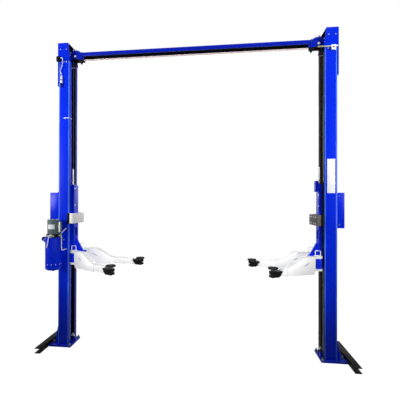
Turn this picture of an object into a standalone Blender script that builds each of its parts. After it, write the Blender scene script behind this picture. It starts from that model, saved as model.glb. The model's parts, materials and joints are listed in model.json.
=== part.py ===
"""Two post car lift with an overhead beam, in metres, +Z up.

Each post is modelled in its own frame: origin under the middle of the column, +X towards the other
post. The left post stands in the world frame, and the right post is the same weldment turned half
round, so every piece that both posts share is written once.
"""

import math

import bpy
import bmesh
from mathutils import Matrix, Vector

# Overall layout
POST_SPAN = 3.073
TOP_Z = 3.66
JOINT_Z = 3.442
JOINT_GAP = 0.004
FIT = 0.0003

# Base plate, its gussets and the stabilizer leg
BASE_OUT = 0.096
BASE_IN = 0.033
BASE_HALF_Y = 0.139
BASE_T = 0.020
FOOT_GUSSET_X = 0.038
FOOT_GUSSET_Z = 0.205
FOOT_GUSSET_T = 0.010
ANCHOR_R = 0.011
ANCHOR_EDGE = 0.0175
ANCHOR_OUT_X = 0.026
ANCHOR_OUT_Y = 0.052
LEG_W = 0.070
LEG_H = 0.058
LEG_T = 0.005
LEG_REACH = 0.333

# Column: a channel with its web outward and wide lips on the open side
COL_X = 0.143
COL_Y = 0.224
COL_WALL = 0.006
COL_LIP = 0.056
COL_BEND = 0.017

# Head: its web laps the column's web on the outside, its flanges taper, and a lid closes the top
HEAD_WEB_T = 0.0112
HEAD_LAP_Z = 3.140
HEAD_WALL = 0.006
HEAD_LOW_X = 0.0745
HEAD_TOP_X = 0.0475
HEAD_STEP = 0.001
LID_T = 0.005

# Overhead beam, its end brackets and the shut-off bar
BEAM_Z = 3.516
BEAM_H = 0.050
BEAM_HALF_Y = 0.050
BEAM_WALL = 0.005
BEAM_START_X = 0.172
BRACKET_T = 0.008
BRACKET_END_X = 0.194
BRACKET_LOW_Z = 3.480
BRACKET_HIGH_Z = 3.600
HANGER_START_X = 0.1625
HANGER_END_X = 0.225
HANGER_TIP_X = 0.196
HANGER_TIP_Z = 3.405
HANGER_SIDE_Z = 3.453
BAR_R = 0.006
BAR_Z = 3.4615

# Equalizer cables and the sheaves they run over
CABLE_R = 0.0055
CABLE_X = 0.078
CABLE_Y = 0.029
SHEAVE_PITCH_R = 0.034
SHEAVE_RIM = 0.007
SHEAVE_T = 0.018
SHEAVE_UNDER_BEAM = 0.018
AXLE_R = 0.012
CABLE_FOOT_Z = 0.070
CABLE_LEAD = 0.010

# Limit switch on the right head, and the cable with its plug on the left head
SWITCH_LOW_X = -0.0445
SWITCH_HIGH_X = 0.003
SWITCH_LOW_Z = 3.400
SWITCH_HIGH_Z = 3.457
SWITCH_T = 0.026
SWITCH_ARM_END_X = 0.140
SWITCH_ARM_H = 0.011
SWITCH_ARM_T = 0.006
LEAD_R = 0.004
LEAD_OUT = 0.016
LEAD_BOX_LOW = (-0.090, 3.432)
LEAD_BOX_HIGH = (-0.046, 3.492)
LEAD_BOX_T = 0.026
PLUG_X = -0.029
PLUG_W = 0.016
PLUG_LOW_Z = 3.166
PLUG_HIGH_Z = 3.256

# Hydraulic cylinder inside each column
CYL_R = 0.034
CYL_X = -0.024
CYL_TOP_Z = 1.240
CYL_ROD_R = 0.020
CYL_ROD_Z = 1.560

# Lock cover on the outer web
LOCK_X = 0.112
LOCK_Y = 0.090
LOCK_FRONT_Y = -0.093
LOCK_LOW_Z = 1.450
LOCK_HIGH_Z = 1.850
LOCK_ROUND = 0.018

# Carriage: a channel that runs between the column's lips, with a wider face outside them
CAR_LOW_Z = 0.990
CAR_HIGH_Z = 1.945
CAR_NECK_Y = 0.050
CAR_HALF_Y = 0.058
CAR_WALL = 0.010
CAR_FACE_X = 0.108
CAR_BACK_X = -0.045
CAR_CLEAR = 0.006
SLIDER_H = 0.140
SLIDER_PLAY = 0.0008
WINDOW_LOW_Z = 1.325
WINDOW_HIGH_Z = 1.422
WINDOW_HALF_Y = 0.028
GUIDE_LOW_Z = 1.858
GUIDE_HIGH_Z = 1.982
GUIDE_X = 0.030
GUIDE_HALF_Y = 0.036
RIB_HIGH_Z = 1.298
RIB_LOW_Z = 1.140
RIB_TIP_X = 0.201
RIB_T = 0.020
LUG_LOW_Z = 1.020
LUG_HIGH_Z = 1.131
STUD_R = 0.009
STUD_TOP_Z = 2.142
NUT_R = 0.014
NUT_H = 0.016
NUT_GAP = 0.030

# Door guard on the carriage
GUARD_LOW_Z = 1.482
GUARD_HIGH_Z = 1.600
GUARD_LOW_Y = -0.185
GUARD_HIGH_Y = 0.130
GUARD_T = 0.045

# Arms: a fork on a vertical pin, an outer tube, a sliding tube with its tip, and a screw pad
PIN_X = 0.140
PIN_Y = 0.130
PIN_R = 0.019
PIN_PLAY = 0.0008
PIN_HEAD_GAP = 0.005
PIN_HEAD_T = 0.004
HANDLE_HALF_W = 0.027
HANDLE_H = 0.050
HANDLE_R = 0.004
BOSS_R = 0.042
FORK_R = 0.046
FORK_T = 0.022
FORK_PLAY = 0.0008
FORK_THROAT = 0.062
ARM_LOW_Z = 0.965
ARM_H = 0.088
ARM_W = 0.076
ARM_WALL = 0.005
ARM_END = 0.410
ARM_TAPER_START = 0.200
ARM_TAPER_END = 0.370
SLIDE_PLAY = 0.004
SLIDE_SEAT = 0.0008
EXT_WALL = 0.005
EXT_TAIL = 0.400
TIP_BACK_LOW = 0.050
TIP_BACK_HIGH = 0.092
TIP_HALF_W = 0.042
TIP_LOW_Z = 0.965
TIP_TOP_Z = 1.026
TIP_SLOT_Z = 0.986
TIP_SLOT_H = 0.013
TIP_SLOT_BACK = 0.024
PAD_R = 0.054
PAD_H = 0.014
PLATE_R = 0.044
PLATE_H = 0.006
SCREW_R = 0.021
SCREW_PLAY = 0.0008
SCREW_LOW_Z = 0.955

# Rest pose of each arm: angle from straight inward towards its own side, pin to pad, top of the pad
FRONT_PAD_Z = 1.065
REAR_PAD_Z = 1.050
LEFT_FRONT_REACH = 0.672
LEFT_REAR_REACH = 0.746
RIGHT_FRONT_REACH = 0.565
RIGHT_REAR_REACH = 0.679
ARM_POSES = {
    "left_front": (31.0, LEFT_FRONT_REACH, FRONT_PAD_Z),
    "left_rear": (0.3, LEFT_REAR_REACH, REAR_PAD_Z),
    "right_front": (24.8, RIGHT_FRONT_REACH, FRONT_PAD_Z),
    "right_rear": (5.8, RIGHT_REAR_REACH, REAR_PAD_Z),
}

# Power unit on the left column's front face
UNIT_X = -0.066
UNIT_GAP = 0.020
TANK_R = 0.090
TANK_LOW_Z = 0.944
TANK_HIGH_Z = 1.324
TANK_ROUND = 0.030
DRAIN_R = 0.012
DRAIN_H = 0.016
BLOCK_H = 0.038
BLOCK_W = 0.120
MOTOR_R = 0.067
MOTOR_H = 0.170
MOTOR_ROUND = 0.010
MOTOR_BOX_T = 0.027
MOTOR_BOX_HALF_W = 0.026
MOTOR_BOX_LOW = 0.026
MOTOR_BOX_HIGH = 0.142
MOUNT_T = 0.010
MOUNT_LOW_X = -0.135
MOUNT_HIGH_X = 0.016
MOUNT_LOW_Z = 1.090
MOUNT_HIGH_Z = 1.400
NECK_R = 0.024
NECK_LOW_Z = 1.262
NECK_REACH = 0.050
NECK_RISE = 0.040
CAP_R = 0.029
CAP_T = 0.026
CAP_TIP_R = 0.010
LEVER_R = 0.006
LEVER_ROOT_R = 0.018
LEVER_L = 0.130
LEVER_GAP = 0.012
LEVER_LEAN = 11
PIPE_R = 0.006
PIPE_OUT = 0.101
PIPE_LOW_Z = 1.172
PIPE_BEND = 0.024

# Facets
ARC_STEPS = 6
ROUND_STEPS = 28
SMALL_STEPS = 14

COLOURS = {
    "blue_paint": (0.01, 0.05, 0.70, 1.0),
    "white_paint": (0.85, 0.85, 0.84, 1.0),
    "black_paint": (0.02, 0.02, 0.02, 1.0),
    "grey_paint": (0.10, 0.16, 0.18, 1.0),
    "zinc": (0.60, 0.61, 0.63, 1.0),
    "rubber": (0.015, 0.015, 0.015, 1.0),
    "pale_rubber": (0.80, 0.78, 0.76, 1.0),
    "grey_rubber": (0.14, 0.13, 0.12, 1.0),
    "red_foam": (0.60, 0.28, 0.26, 1.0),
}

COL_HALF_X = COL_X / 2
COL_HALF_Y = COL_Y / 2
WEB_X = -COL_HALF_X
LIP_X = COL_HALF_X
TURN = Matrix.Translation((POST_SPAN, 0, 0)) @ Matrix.Rotation(math.pi, 4, "Z")
SIDES = {"left": Matrix.Identity(4), "right": TURN}
HERE = Matrix.Identity(4)


# Small tools


def paint(slot):
    found = bpy.data.materials.get(slot)
    if found:
        return found
    made = bpy.data.materials.new(slot)
    made.use_nodes = True
    made.node_tree.nodes["Principled BSDF"].inputs["Base Color"].default_value = COLOURS[slot]
    made.diffuse_color = COLOURS[slot]
    return made


def finish_object(name, bm, slot, place, smooth=False):
    bmesh.ops.recalc_face_normals(bm, faces=bm.faces)
    mesh = bpy.data.meshes.new(name)
    bm.to_mesh(mesh)
    bm.free()
    made = bpy.data.objects.new(name, mesh)
    bpy.context.scene.collection.objects.link(made)
    made.matrix_world = place
    made.data.materials.append(paint(slot))
    if smooth:
        for face in mesh.polygons:
            face.use_smooth = True
    return made


def in_space(axis, a, b, c):
    """Point with a and b in the plane across the axis, and c along it."""
    if axis == "Z":
        return Vector((a, b, c))
    if axis == "Y":
        return Vector((a, c, b))
    return Vector((c, a, b))


def prism(name, outline, low, high, slot, place=HERE, axis="Z"):
    """Closed solid from a plane outline, drawn out along an axis."""
    bm = bmesh.new()
    bottom = [bm.verts.new(in_space(axis, a, b, low)) for a, b in outline]
    top = [bm.verts.new(in_space(axis, a, b, high)) for a, b in outline]
    bm.faces.new(bottom)
    bm.faces.new(list(reversed(top)))
    for i in range(len(outline)):
        k = (i + 1) % len(outline)
        bm.faces.new((bottom[i], bottom[k], top[k], top[i]))
    return finish_object(name, bm, slot, place)


def block(name, low, high, slot, place=HERE):
    outline = [(low[0], low[1]), (high[0], low[1]), (high[0], high[1]), (low[0], high[1])]
    return prism(name, outline, low[2], high[2], slot, place)


def lathe(name, profile, slot, place=HERE, axis="Z", steps=ROUND_STEPS):
    """Solid of revolution from (radius, height) points that start and end on the axis."""
    bm = bmesh.new()
    rings = []
    for radius, height in profile:
        if radius == 0:
            rings.append([bm.verts.new(in_space(axis, 0, 0, height))])
            continue
        turn = [2 * math.pi * i / steps for i in range(steps)]
        rings.append(
            [bm.verts.new(in_space(axis, radius * math.cos(t), radius * math.sin(t), height)) for t in turn]
        )
    for one, two in zip(rings, rings[1:]):
        for i in range(steps):
            k = (i + 1) % steps
            corners = [one[i % len(one)], one[k % len(one)], two[k % len(two)], two[i % len(two)]]
            corners = list(dict.fromkeys(corners))
            if len(corners) > 2:
                bm.faces.new(corners)
    return finish_object(name, bm, slot, place, smooth=True)


def rod(name, radius, low, high, slot, place=HERE, axis="Z", steps=ROUND_STEPS):
    return lathe(name, [(0, low), (radius, low), (radius, high), (0, high)], slot, place, axis, steps)


def arc(centre, radius, start, end, steps=ARC_STEPS):
    """Points on an arc, both ends included, with angles in degrees."""
    turn = [math.radians(start + (end - start) * i / steps) for i in range(steps + 1)]
    return [(centre[0] + radius * math.cos(t), centre[1] + radius * math.sin(t)) for t in turn]


def swept(name, path, radius, slot, place=HERE, steps=8):
    """Round bar along a path, with flat ends."""
    bm = bmesh.new()
    rings = []
    side = Vector((0, 1, 0))
    for i, point in enumerate(path):
        before = path[max(i - 1, 0)]
        after = path[min(i + 1, len(path) - 1)]
        along = (Vector(after) - Vector(before)).normalized()
        if abs(along.dot(side)) > 0.95:
            side = along.orthogonal()
        side = (side - along * side.dot(along)).normalized()
        out = along.cross(side)
        turn = [2 * math.pi * k / steps for k in range(steps)]
        rings.append(
            [bm.verts.new(Vector(point) + radius * (math.cos(t) * side + math.sin(t) * out)) for t in turn]
        )
    for one, two in zip(rings, rings[1:]):
        for i in range(steps):
            k = (i + 1) % steps
            bm.faces.new((one[i], one[k], two[k], two[i]))
    bm.faces.new(rings[0])
    bm.faces.new(rings[-1])
    return finish_object(name, bm, slot, place, smooth=True)


def rounded_path(points, bend, steps=5):
    """Polyline whose inner corners are replaced by arcs that start a bend's length before the corner."""
    path = [Vector(points[0])]
    for before, corner, after in zip(points, points[1:], points[2:]):
        corner = Vector(corner)
        start = corner + (Vector(before) - corner).normalized() * bend
        end = corner + (Vector(after) - corner).normalized() * bend
        for i in range(steps + 1):
            t = i / steps
            path.append(start * (1 - t) ** 2 + corner * 2 * t * (1 - t) + end * t**2)
    path.append(Vector(points[-1]))
    return path


def combine(base, others, operation):
    """Adds the other solids to the base, or cuts them out of it, and removes them."""
    for other in others:
        change = base.modifiers.new("combine", "BOOLEAN")
        change.operation = operation
        change.solver = "EXACT"
        change.object = other
        bpy.context.view_layer.update()
        evaluated = base.evaluated_get(bpy.context.evaluated_depsgraph_get())
        mesh = bpy.data.meshes.new_from_object(evaluated)
        base.modifiers.clear()
        old = base.data
        base.data = mesh
        bpy.data.meshes.remove(old)
        bpy.data.objects.remove(other)
    base.data.name = base.name
    return base


def fuse(base, *others):
    return combine(base, others, "UNION")


def cut(base, *others):
    return combine(base, others, "DIFFERENCE")


# Frame


def base_plate(side, place):
    low_x = WEB_X - BASE_OUT
    high_x = LIP_X + BASE_IN
    plate = block(f"base_{side}", (low_x, -BASE_HALF_Y, 0), (high_x, BASE_HALF_Y, BASE_T), "blue_paint", place)
    foot = [
        (WEB_X - FIT, BASE_T - 0.002),
        (WEB_X - FIT, BASE_T + FOOT_GUSSET_Z),
        (WEB_X - FIT - 0.006, BASE_T + FOOT_GUSSET_Z),
        (WEB_X - FOOT_GUSSET_X, BASE_T + 0.012),
        (WEB_X - FOOT_GUSSET_X, BASE_T - 0.002),
    ]
    gussets = []
    for sign in (-1, 1):
        middle = sign * (COL_HALF_Y - COL_BEND - FOOT_GUSSET_T / 2)
        low, high = middle - FOOT_GUSSET_T / 2, middle + FOOT_GUSSET_T / 2
        gussets.append(prism("gusset", foot, low, high, "blue_paint", place, "Y"))
    stop = block(
        "anchor",
        (CABLE_X - 0.014, CABLE_Y - 0.014, BASE_T - 0.002),
        (CABLE_X + 0.014, CABLE_Y + 0.014, CABLE_FOOT_Z - FIT),
        "blue_paint",
        place,
    )
    fuse(plate, *gussets, stop)
    holes = []
    for x, y in ((low_x + ANCHOR_OUT_X, ANCHOR_OUT_Y), (high_x - ANCHOR_EDGE, BASE_HALF_Y - ANCHOR_EDGE)):
        for sign in (-1, 1):
            hole = place @ Matrix.Translation((x, sign * y, 0))
            holes.append(rod("hole", ANCHOR_R, -0.01, BASE_T + 0.01, "zinc", hole, steps=SMALL_STEPS))
    return cut(plate, *holes)


def stabilizer_leg(side, place):
    inner = WEB_X - BASE_OUT - FIT
    outer = inner - LEG_W
    outline = [
        (inner, 0),
        (inner, LEG_H),
        (outer, LEG_H),
        (outer, LEG_H - LEG_T),
        (inner - LEG_T, LEG_H - LEG_T),
        (inner - LEG_T, LEG_T),
        (outer, LEG_T),
        (outer, 0),
    ]
    return prism(f"stabilizer_leg_{side}", outline, -LEG_REACH, LEG_REACH, "black_paint", place, "Y")


def column(side, place):
    """C section: web outward, rounded bends, and a lip at each side of the opening."""
    x, y, wall, bend = COL_HALF_X, COL_HALF_Y, COL_WALL, COL_BEND
    half = [(x - wall, y - COL_LIP), (x, y - COL_LIP)]
    half += arc((x - bend, y - bend), bend, 0, 90, 5)
    half += arc((-x + bend, y - bend), bend, 90, 180, 5)
    inside = arc((-x + bend, y - bend), bend - wall, 180, 90, 4)
    inside += arc((x - bend, y - bend), bend - wall, 90, 0, 4)
    front = [(a, -b) for a, b in half]
    front_inside = [(a, -b) for a, b in inside]
    outline = half + list(reversed(front)) + list(reversed(front_inside)) + inside
    return prism(f"column_{side}", outline, BASE_T + FIT, JOINT_Z, "blue_paint", place)


def head(side, place):
    """Web that laps the column's web, two tapered flanges and a lid."""
    out_x = WEB_X - HEAD_WEB_T - FIT
    web_in = WEB_X - FIT
    low_z = JOINT_Z + JOINT_GAP
    outline = [
        (out_x, HEAD_LAP_Z),
        (web_in, HEAD_LAP_Z),
        (web_in, low_z),
        (HEAD_LOW_X, low_z),
        (HEAD_TOP_X, TOP_Z),
        (out_x, TOP_Z),
    ]
    body = prism(f"head_{side}", outline, -COL_HALF_Y, COL_HALF_Y, "blue_paint", place, "Y")
    inner_y = COL_HALF_Y - HEAD_WALL
    inside = block(
        "inside",
        (web_in - HEAD_STEP, -inner_y, low_z - 2 * HEAD_STEP),
        (HEAD_LOW_X + 0.01, inner_y, TOP_Z - LID_T),
        "blue_paint",
        place,
    )
    return cut(body, inside)


def sheave_centre():
    """X and Z of the sheaves' axle: the cable comes up at its own X and leaves inside the beam."""
    return CABLE_X + SHEAVE_PITCH_R, BEAM_Z + BEAM_H - SHEAVE_UNDER_BEAM - SHEAVE_PITCH_R


def bracket_outline(back, hanger):
    """Side view of a bracket plate, with or without the hanger under the end of the beam."""
    end = BRACKET_END_X
    outline = [(back, BRACKET_LOW_Z)]
    if hanger:
        outline += [(HANGER_START_X, BRACKET_LOW_Z), (HANGER_START_X, HANGER_SIDE_Z), (HANGER_TIP_X, HANGER_TIP_Z)]
        outline += [(HANGER_END_X, HANGER_SIDE_Z), (HANGER_END_X, BEAM_Z - 0.022), (end, BEAM_Z - 0.006)]
    else:
        outline += [(end, BRACKET_LOW_Z)]
    beam_top = BEAM_Z + BEAM_H
    round_top = BRACKET_HIGH_Z - beam_top
    outline += [(end, beam_top + 0.001), (end - 0.030, beam_top + 0.5 * round_top)]
    outline += [(end - 0.060, BRACKET_HIGH_Z - 0.003), (end - 0.090, BRACKET_HIGH_Z)]
    outline += [(end - 0.115, BRACKET_HIGH_Z - 0.008), (end - 0.128, beam_top + 0.004), (back, beam_top + 0.004)]
    return outline


def beam_bracket(side, place):
    """Two side plates joined by a back plate on the head's web; the front one carries the shut-off bar."""
    back = WEB_X - HEAD_STEP
    inner = BEAM_HALF_Y + FIT
    outer = inner + BRACKET_T
    top = BEAM_Z + BEAM_H
    front = -1 if side == "left" else 1
    name = f"beam_bracket_{side}"
    low_corner = (back, -outer + 0.002, BRACKET_LOW_Z)
    high_corner = (back + BRACKET_T, outer - 0.002, top)
    spine = block(name, low_corner, high_corner, "blue_paint", place)
    plates = []
    for sign in (-1, 1):
        low, high = sorted((sign * inner, sign * outer))
        outline = bracket_outline(back, sign == front)
        plates.append(prism("plate", outline, low, high, "blue_paint", place, "Y"))
    return fuse(spine, *plates)


def crossbeam():
    y, wall = BEAM_HALF_Y, BEAM_WALL
    low, high = BEAM_Z, BEAM_Z + BEAM_H
    bend = 2 * wall
    outline = [(-y, low)]
    outline += arc((-y + bend, high - bend), bend, 180, 90, 3)
    outline += arc((y - bend, high - bend), bend, 90, 0, 3)
    outline += [(y, low), (y - wall, low)]
    outline += arc((y - bend, high - bend), bend - wall, 0, 90, 3)
    outline += arc((-y + bend, high - bend), bend - wall, 90, 180, 3)
    outline += [(-y + wall, low)]
    return prism("crossbeam", outline, BEAM_START_X, POST_SPAN - BEAM_START_X, "blue_paint", HERE, "X")


def shutoff_bar():
    end = HANGER_END_X + FIT
    y = -(BEAM_HALF_Y + FIT + BRACKET_T / 2)
    place = Matrix.Translation((0, y, BAR_Z))
    return rod("shutoff_bar", BAR_R, end, POST_SPAN - end, "red_foam", place, "X", steps=10)


def sheave_pair(side, place):
    """Two grooved wheels on one axle between the bracket's plates."""
    floor = SHEAVE_PITCH_R - CABLE_R - FIT
    rim = SHEAVE_PITCH_R + SHEAVE_RIM
    half = SHEAVE_T / 2
    mouth = half - 0.001
    seat = CABLE_R + FIT
    profile = [(0, -BEAM_HALF_Y), (AXLE_R, -BEAM_HALF_Y)]
    for y in (-CABLE_Y, CABLE_Y):
        profile += [(AXLE_R, y - half), (rim, y - half), (rim, y - mouth), (floor, y - seat)]
        profile += [(floor, y + seat), (rim, y + mouth), (rim, y + half), (AXLE_R, y + half)]
    profile += [(AXLE_R, BEAM_HALF_Y), (0, BEAM_HALF_Y)]
    x, z = sheave_centre()
    at = place @ Matrix.Translation((x, 0, z))
    return lathe(f"sheaves_{side}", profile, "zinc", at, "Y", steps=24)


def equalizer_cable(name, place):
    """Fixed run of one cable: over this post's sheave, along the beam and down the other column."""
    start, z = sheave_centre()
    far = POST_SPAN - start
    path = [(CABLE_X, -CABLE_Y, z - CABLE_LEAD)]
    path += [(a, -CABLE_Y, b) for a, b in arc((start, z), SHEAVE_PITCH_R, 180, 90)]
    path += [(a, -CABLE_Y, b) for a, b in arc((far, z), SHEAVE_PITCH_R, 90, 0)]
    path += [(far + SHEAVE_PITCH_R, -CABLE_Y, CABLE_FOOT_Z)]
    return swept(name, path, CABLE_R, "zinc", place)


def limit_switch():
    """Switch box on the front of the right head, with the flat arm that the shut-off bar moves."""
    place = SIDES["right"]
    face = COL_HALF_Y + FIT
    body = block(
        "limit_switch",
        (SWITCH_LOW_X, face, SWITCH_LOW_Z),
        (SWITCH_HIGH_X, face + SWITCH_T, SWITCH_HIGH_Z),
        "zinc",
        place,
    )
    arm_low = SWITCH_HIGH_Z - 0.002 - SWITCH_ARM_H
    arm = block(
        "arm",
        (SWITCH_HIGH_X - 0.002, face + 0.002, arm_low),
        (SWITCH_ARM_END_X, face + 0.002 + SWITCH_ARM_T, arm_low + SWITCH_ARM_H),
        "zinc",
        place,
    )
    return fuse(body, arm)


def switch_lead():
    """Cable box on the front of the left head, and its cable down to a plug on the column."""
    face = -COL_HALF_Y - FIT
    low, high = LEAD_BOX_LOW, LEAD_BOX_HIGH
    block("lead_box", (low[0], face - LEAD_BOX_T, low[1]), (high[0], face, high[1]), "black_paint")
    half = PLUG_W / 2
    plug = block(
        "switch_lead",
        (PLUG_X - half, face - LEAD_OUT - half, PLUG_LOW_Z),
        (PLUG_X + half, face, PLUG_HIGH_Z),
        "white_paint",
    )
    y = face - LEAD_OUT
    route = [
        (high[0] + FIT, y, high[1] - 0.018),
        (PLUG_X + 0.014, y, high[1] - 0.018),
        (PLUG_X + 0.010, y, PLUG_HIGH_Z + 0.120),
        (PLUG_X - 0.016, y, PLUG_HIGH_Z + 0.060),
        (PLUG_X, y, PLUG_HIGH_Z + 0.026),
        (PLUG_X, y, PLUG_HIGH_Z - 0.004),
    ]
    return fuse(plug, swept("lead", rounded_path(route, 0.012, 4), LEAD_R, "white_paint"))


def cylinder(side, place):
    at = place @ Matrix.Translation((CYL_X, 0, 0))
    foot = BASE_T + FIT
    profile = [(0, foot), (CYL_R, foot), (CYL_R, CYL_TOP_Z - 0.004), (CYL_R - 0.004, CYL_TOP_Z)]
    profile += [(CYL_ROD_R, CYL_TOP_Z), (CYL_ROD_R, CYL_ROD_Z), (0, CYL_ROD_Z)]
    return lathe(f"cylinder_{side}", profile, "black_paint", at, steps=20)


def lock_cover(side, place):
    inner = WEB_X - FIT
    outer = WEB_X - LOCK_X
    outline = [(inner, LOCK_LOW_Z), (outer, LOCK_LOW_Z), (outer, LOCK_HIGH_Z)]
    outline += [(inner - LOCK_ROUND, LOCK_HIGH_Z), (inner, LOCK_HIGH_Z + LOCK_ROUND)]
    name = f"lock_cover_{side}"
    return prism(name, outline, LOCK_FRONT_Y, LOCK_FRONT_Y + LOCK_Y, "blue_paint", place, "Y")


# Power unit on the left post


def unit_centre_y():
    return -(COL_HALF_Y + MOUNT_T + UNIT_GAP + TANK_R)


def unit_mount():
    """Plate on the column's face with a shelf under the valve block."""
    face = -COL_HALF_Y - FIT
    block_low = TANK_HIGH_Z + FIT
    plate = block(
        "power_mount", (MOUNT_LOW_X, face - MOUNT_T, MOUNT_LOW_Z), (MOUNT_HIGH_X, face, MOUNT_HIGH_Z), "blue_paint"
    )
    shelf = block(
        "shelf",
        (MOUNT_LOW_X + 0.004, unit_centre_y() + BLOCK_W / 2 + FIT, block_low + 0.004),
        (UNIT_X + BLOCK_W / 2, face - MOUNT_T / 2, block_low + BLOCK_H - 0.004),
        "blue_paint",
    )
    return fuse(plate, shelf)


def tank():
    """Oil tank with a rounded bottom, a drain plug and a slanted filler neck with its cap."""
    at = Matrix.Translation((UNIT_X, unit_centre_y(), 0))
    profile = [(0, TANK_LOW_Z - DRAIN_H), (DRAIN_R, TANK_LOW_Z - DRAIN_H), (DRAIN_R, TANK_LOW_Z)]
    profile += [(TANK_R - TANK_ROUND + a, b) for a, b in arc((0, TANK_LOW_Z + TANK_ROUND), TANK_ROUND, -90, 0)]
    profile += [(TANK_R, TANK_HIGH_Z), (0, TANK_HIGH_Z)]
    body = lathe("oil_tank", profile, "blue_paint", at)
    tilt = Matrix.Rotation(-math.atan2(NECK_REACH, NECK_RISE), 4, "Y")
    root = at @ Matrix.Translation((-TANK_R + NECK_R, 0, NECK_LOW_Z)) @ tilt
    length = math.hypot(NECK_REACH, NECK_RISE)
    fuse(body, rod("neck", NECK_R, 0, length, "blue_paint", root, steps=SMALL_STEPS))
    cap = [(0, 0), (CAP_R, 0), (CAP_R, CAP_T * 0.3), (CAP_TIP_R, CAP_T), (0, CAP_T)]
    lathe("filler_cap", cap, "black_paint", root @ Matrix.Translation((0, 0, length + FIT)), steps=SMALL_STEPS)


def motor(low):
    """Motor housing with its switch box on the side towards the bay."""
    at = Matrix.Translation((UNIT_X, unit_centre_y(), 0))
    body = [(0, low), (MOTOR_R, low)]
    body += [(MOTOR_R - MOTOR_ROUND + a, b) for a, b in arc((0, low + MOTOR_H - MOTOR_ROUND), MOTOR_ROUND, 0, 90)]
    body += [(0, low + MOTOR_H)]
    housing = lathe("motor", body, "grey_paint", at)
    box = block(
        "box",
        (MOTOR_R - 0.010, -MOTOR_BOX_HALF_W, low + MOTOR_BOX_LOW),
        (MOTOR_R + MOTOR_BOX_T, MOTOR_BOX_HALF_W, low + MOTOR_BOX_HIGH),
        "grey_paint",
        at,
    )
    return fuse(housing, box)


def release_lever(block_low):
    """Cone and hanging handle on the front of the valve block."""
    at = Matrix.Translation((UNIT_X, unit_centre_y(), block_low + BLOCK_H / 2))
    front = -(TANK_R + LEVER_GAP)
    root = -BLOCK_W / 2 - FIT
    profile = [(0, root), (LEVER_ROOT_R, root), (LEVER_ROOT_R, root - 0.006), (LEVER_R, root - 0.022)]
    profile += [(LEVER_R, front), (0, front)]
    stub = lathe("release_lever", profile, "zinc", at, "Y", steps=SMALL_STEPS)
    hang = at @ Matrix.Translation((0, front, 0)) @ Matrix.Rotation(math.radians(LEVER_LEAN), 4, "Y")
    return fuse(stub, rod("handle", LEVER_R, -LEVER_L, LEVER_R, "zinc", hang, steps=10))


def pressure_pipe(block_low):
    """Pipe from the side of the valve block down and back into the column's face."""
    x = UNIT_X + PIPE_OUT
    z = block_low + BLOCK_H / 2
    y = unit_centre_y()
    route = [
        (UNIT_X + BLOCK_W / 2 + FIT, y, z),
        (x, y, z),
        (x, y, PIPE_LOW_Z),
        (x, -COL_HALF_Y - FIT, PIPE_LOW_Z),
    ]
    return swept("pressure_pipe", rounded_path(route, PIPE_BEND), PIPE_R, "white_paint")


def power_unit():
    block_low = TANK_HIGH_Z + FIT
    block_high = block_low + BLOCK_H
    half = BLOCK_W / 2
    y = unit_centre_y()
    unit_mount()
    tank()
    block("valve_block", (UNIT_X - half, y - half, block_low), (UNIT_X + half, y + half, block_high), "black_paint")
    motor(block_high + FIT)
    release_lever(block_low)
    pressure_pipe(block_low)


# Carriages


def lug_outline():
    """Plan of the arm lug: a bar along the face of the carriage with a round boss at each pin."""
    start = CAR_FACE_X - CAR_WALL / 2
    front = arc((PIN_X, -PIN_Y), BOSS_R, 360, 180, 12)
    rear = arc((PIN_X, PIN_Y), BOSS_R, 180, 0, 12)
    neck = CAR_HALF_Y - 0.002
    inner = PIN_X - BOSS_R
    return front + [(inner, -neck - 0.012), (start, -neck), (start, neck), (inner, neck + 0.012)] + rear


def slider_ears(place):
    """Blocks that run behind the column's lips at the top and bottom of the carriage."""
    lip_back = LIP_X - COL_WALL - SLIDER_PLAY
    flange_in = COL_HALF_Y - COL_WALL - SLIDER_PLAY
    start = CAR_NECK_Y - 0.002
    ears = []
    for low in (CAR_LOW_Z, CAR_HIGH_Z - SLIDER_H):
        for sign in (-1, 1):
            plan = [(CAR_BACK_X, start), (lip_back, start), (lip_back, flange_in - COL_BEND)]
            plan += [(lip_back - COL_BEND, flange_in), (CAR_BACK_X, flange_in)]
            plan = [(a, sign * b) for a, b in plan]
            ears.append(prism("ear", plan, low, low + SLIDER_H, "blue_paint", place))
    return ears


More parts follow.
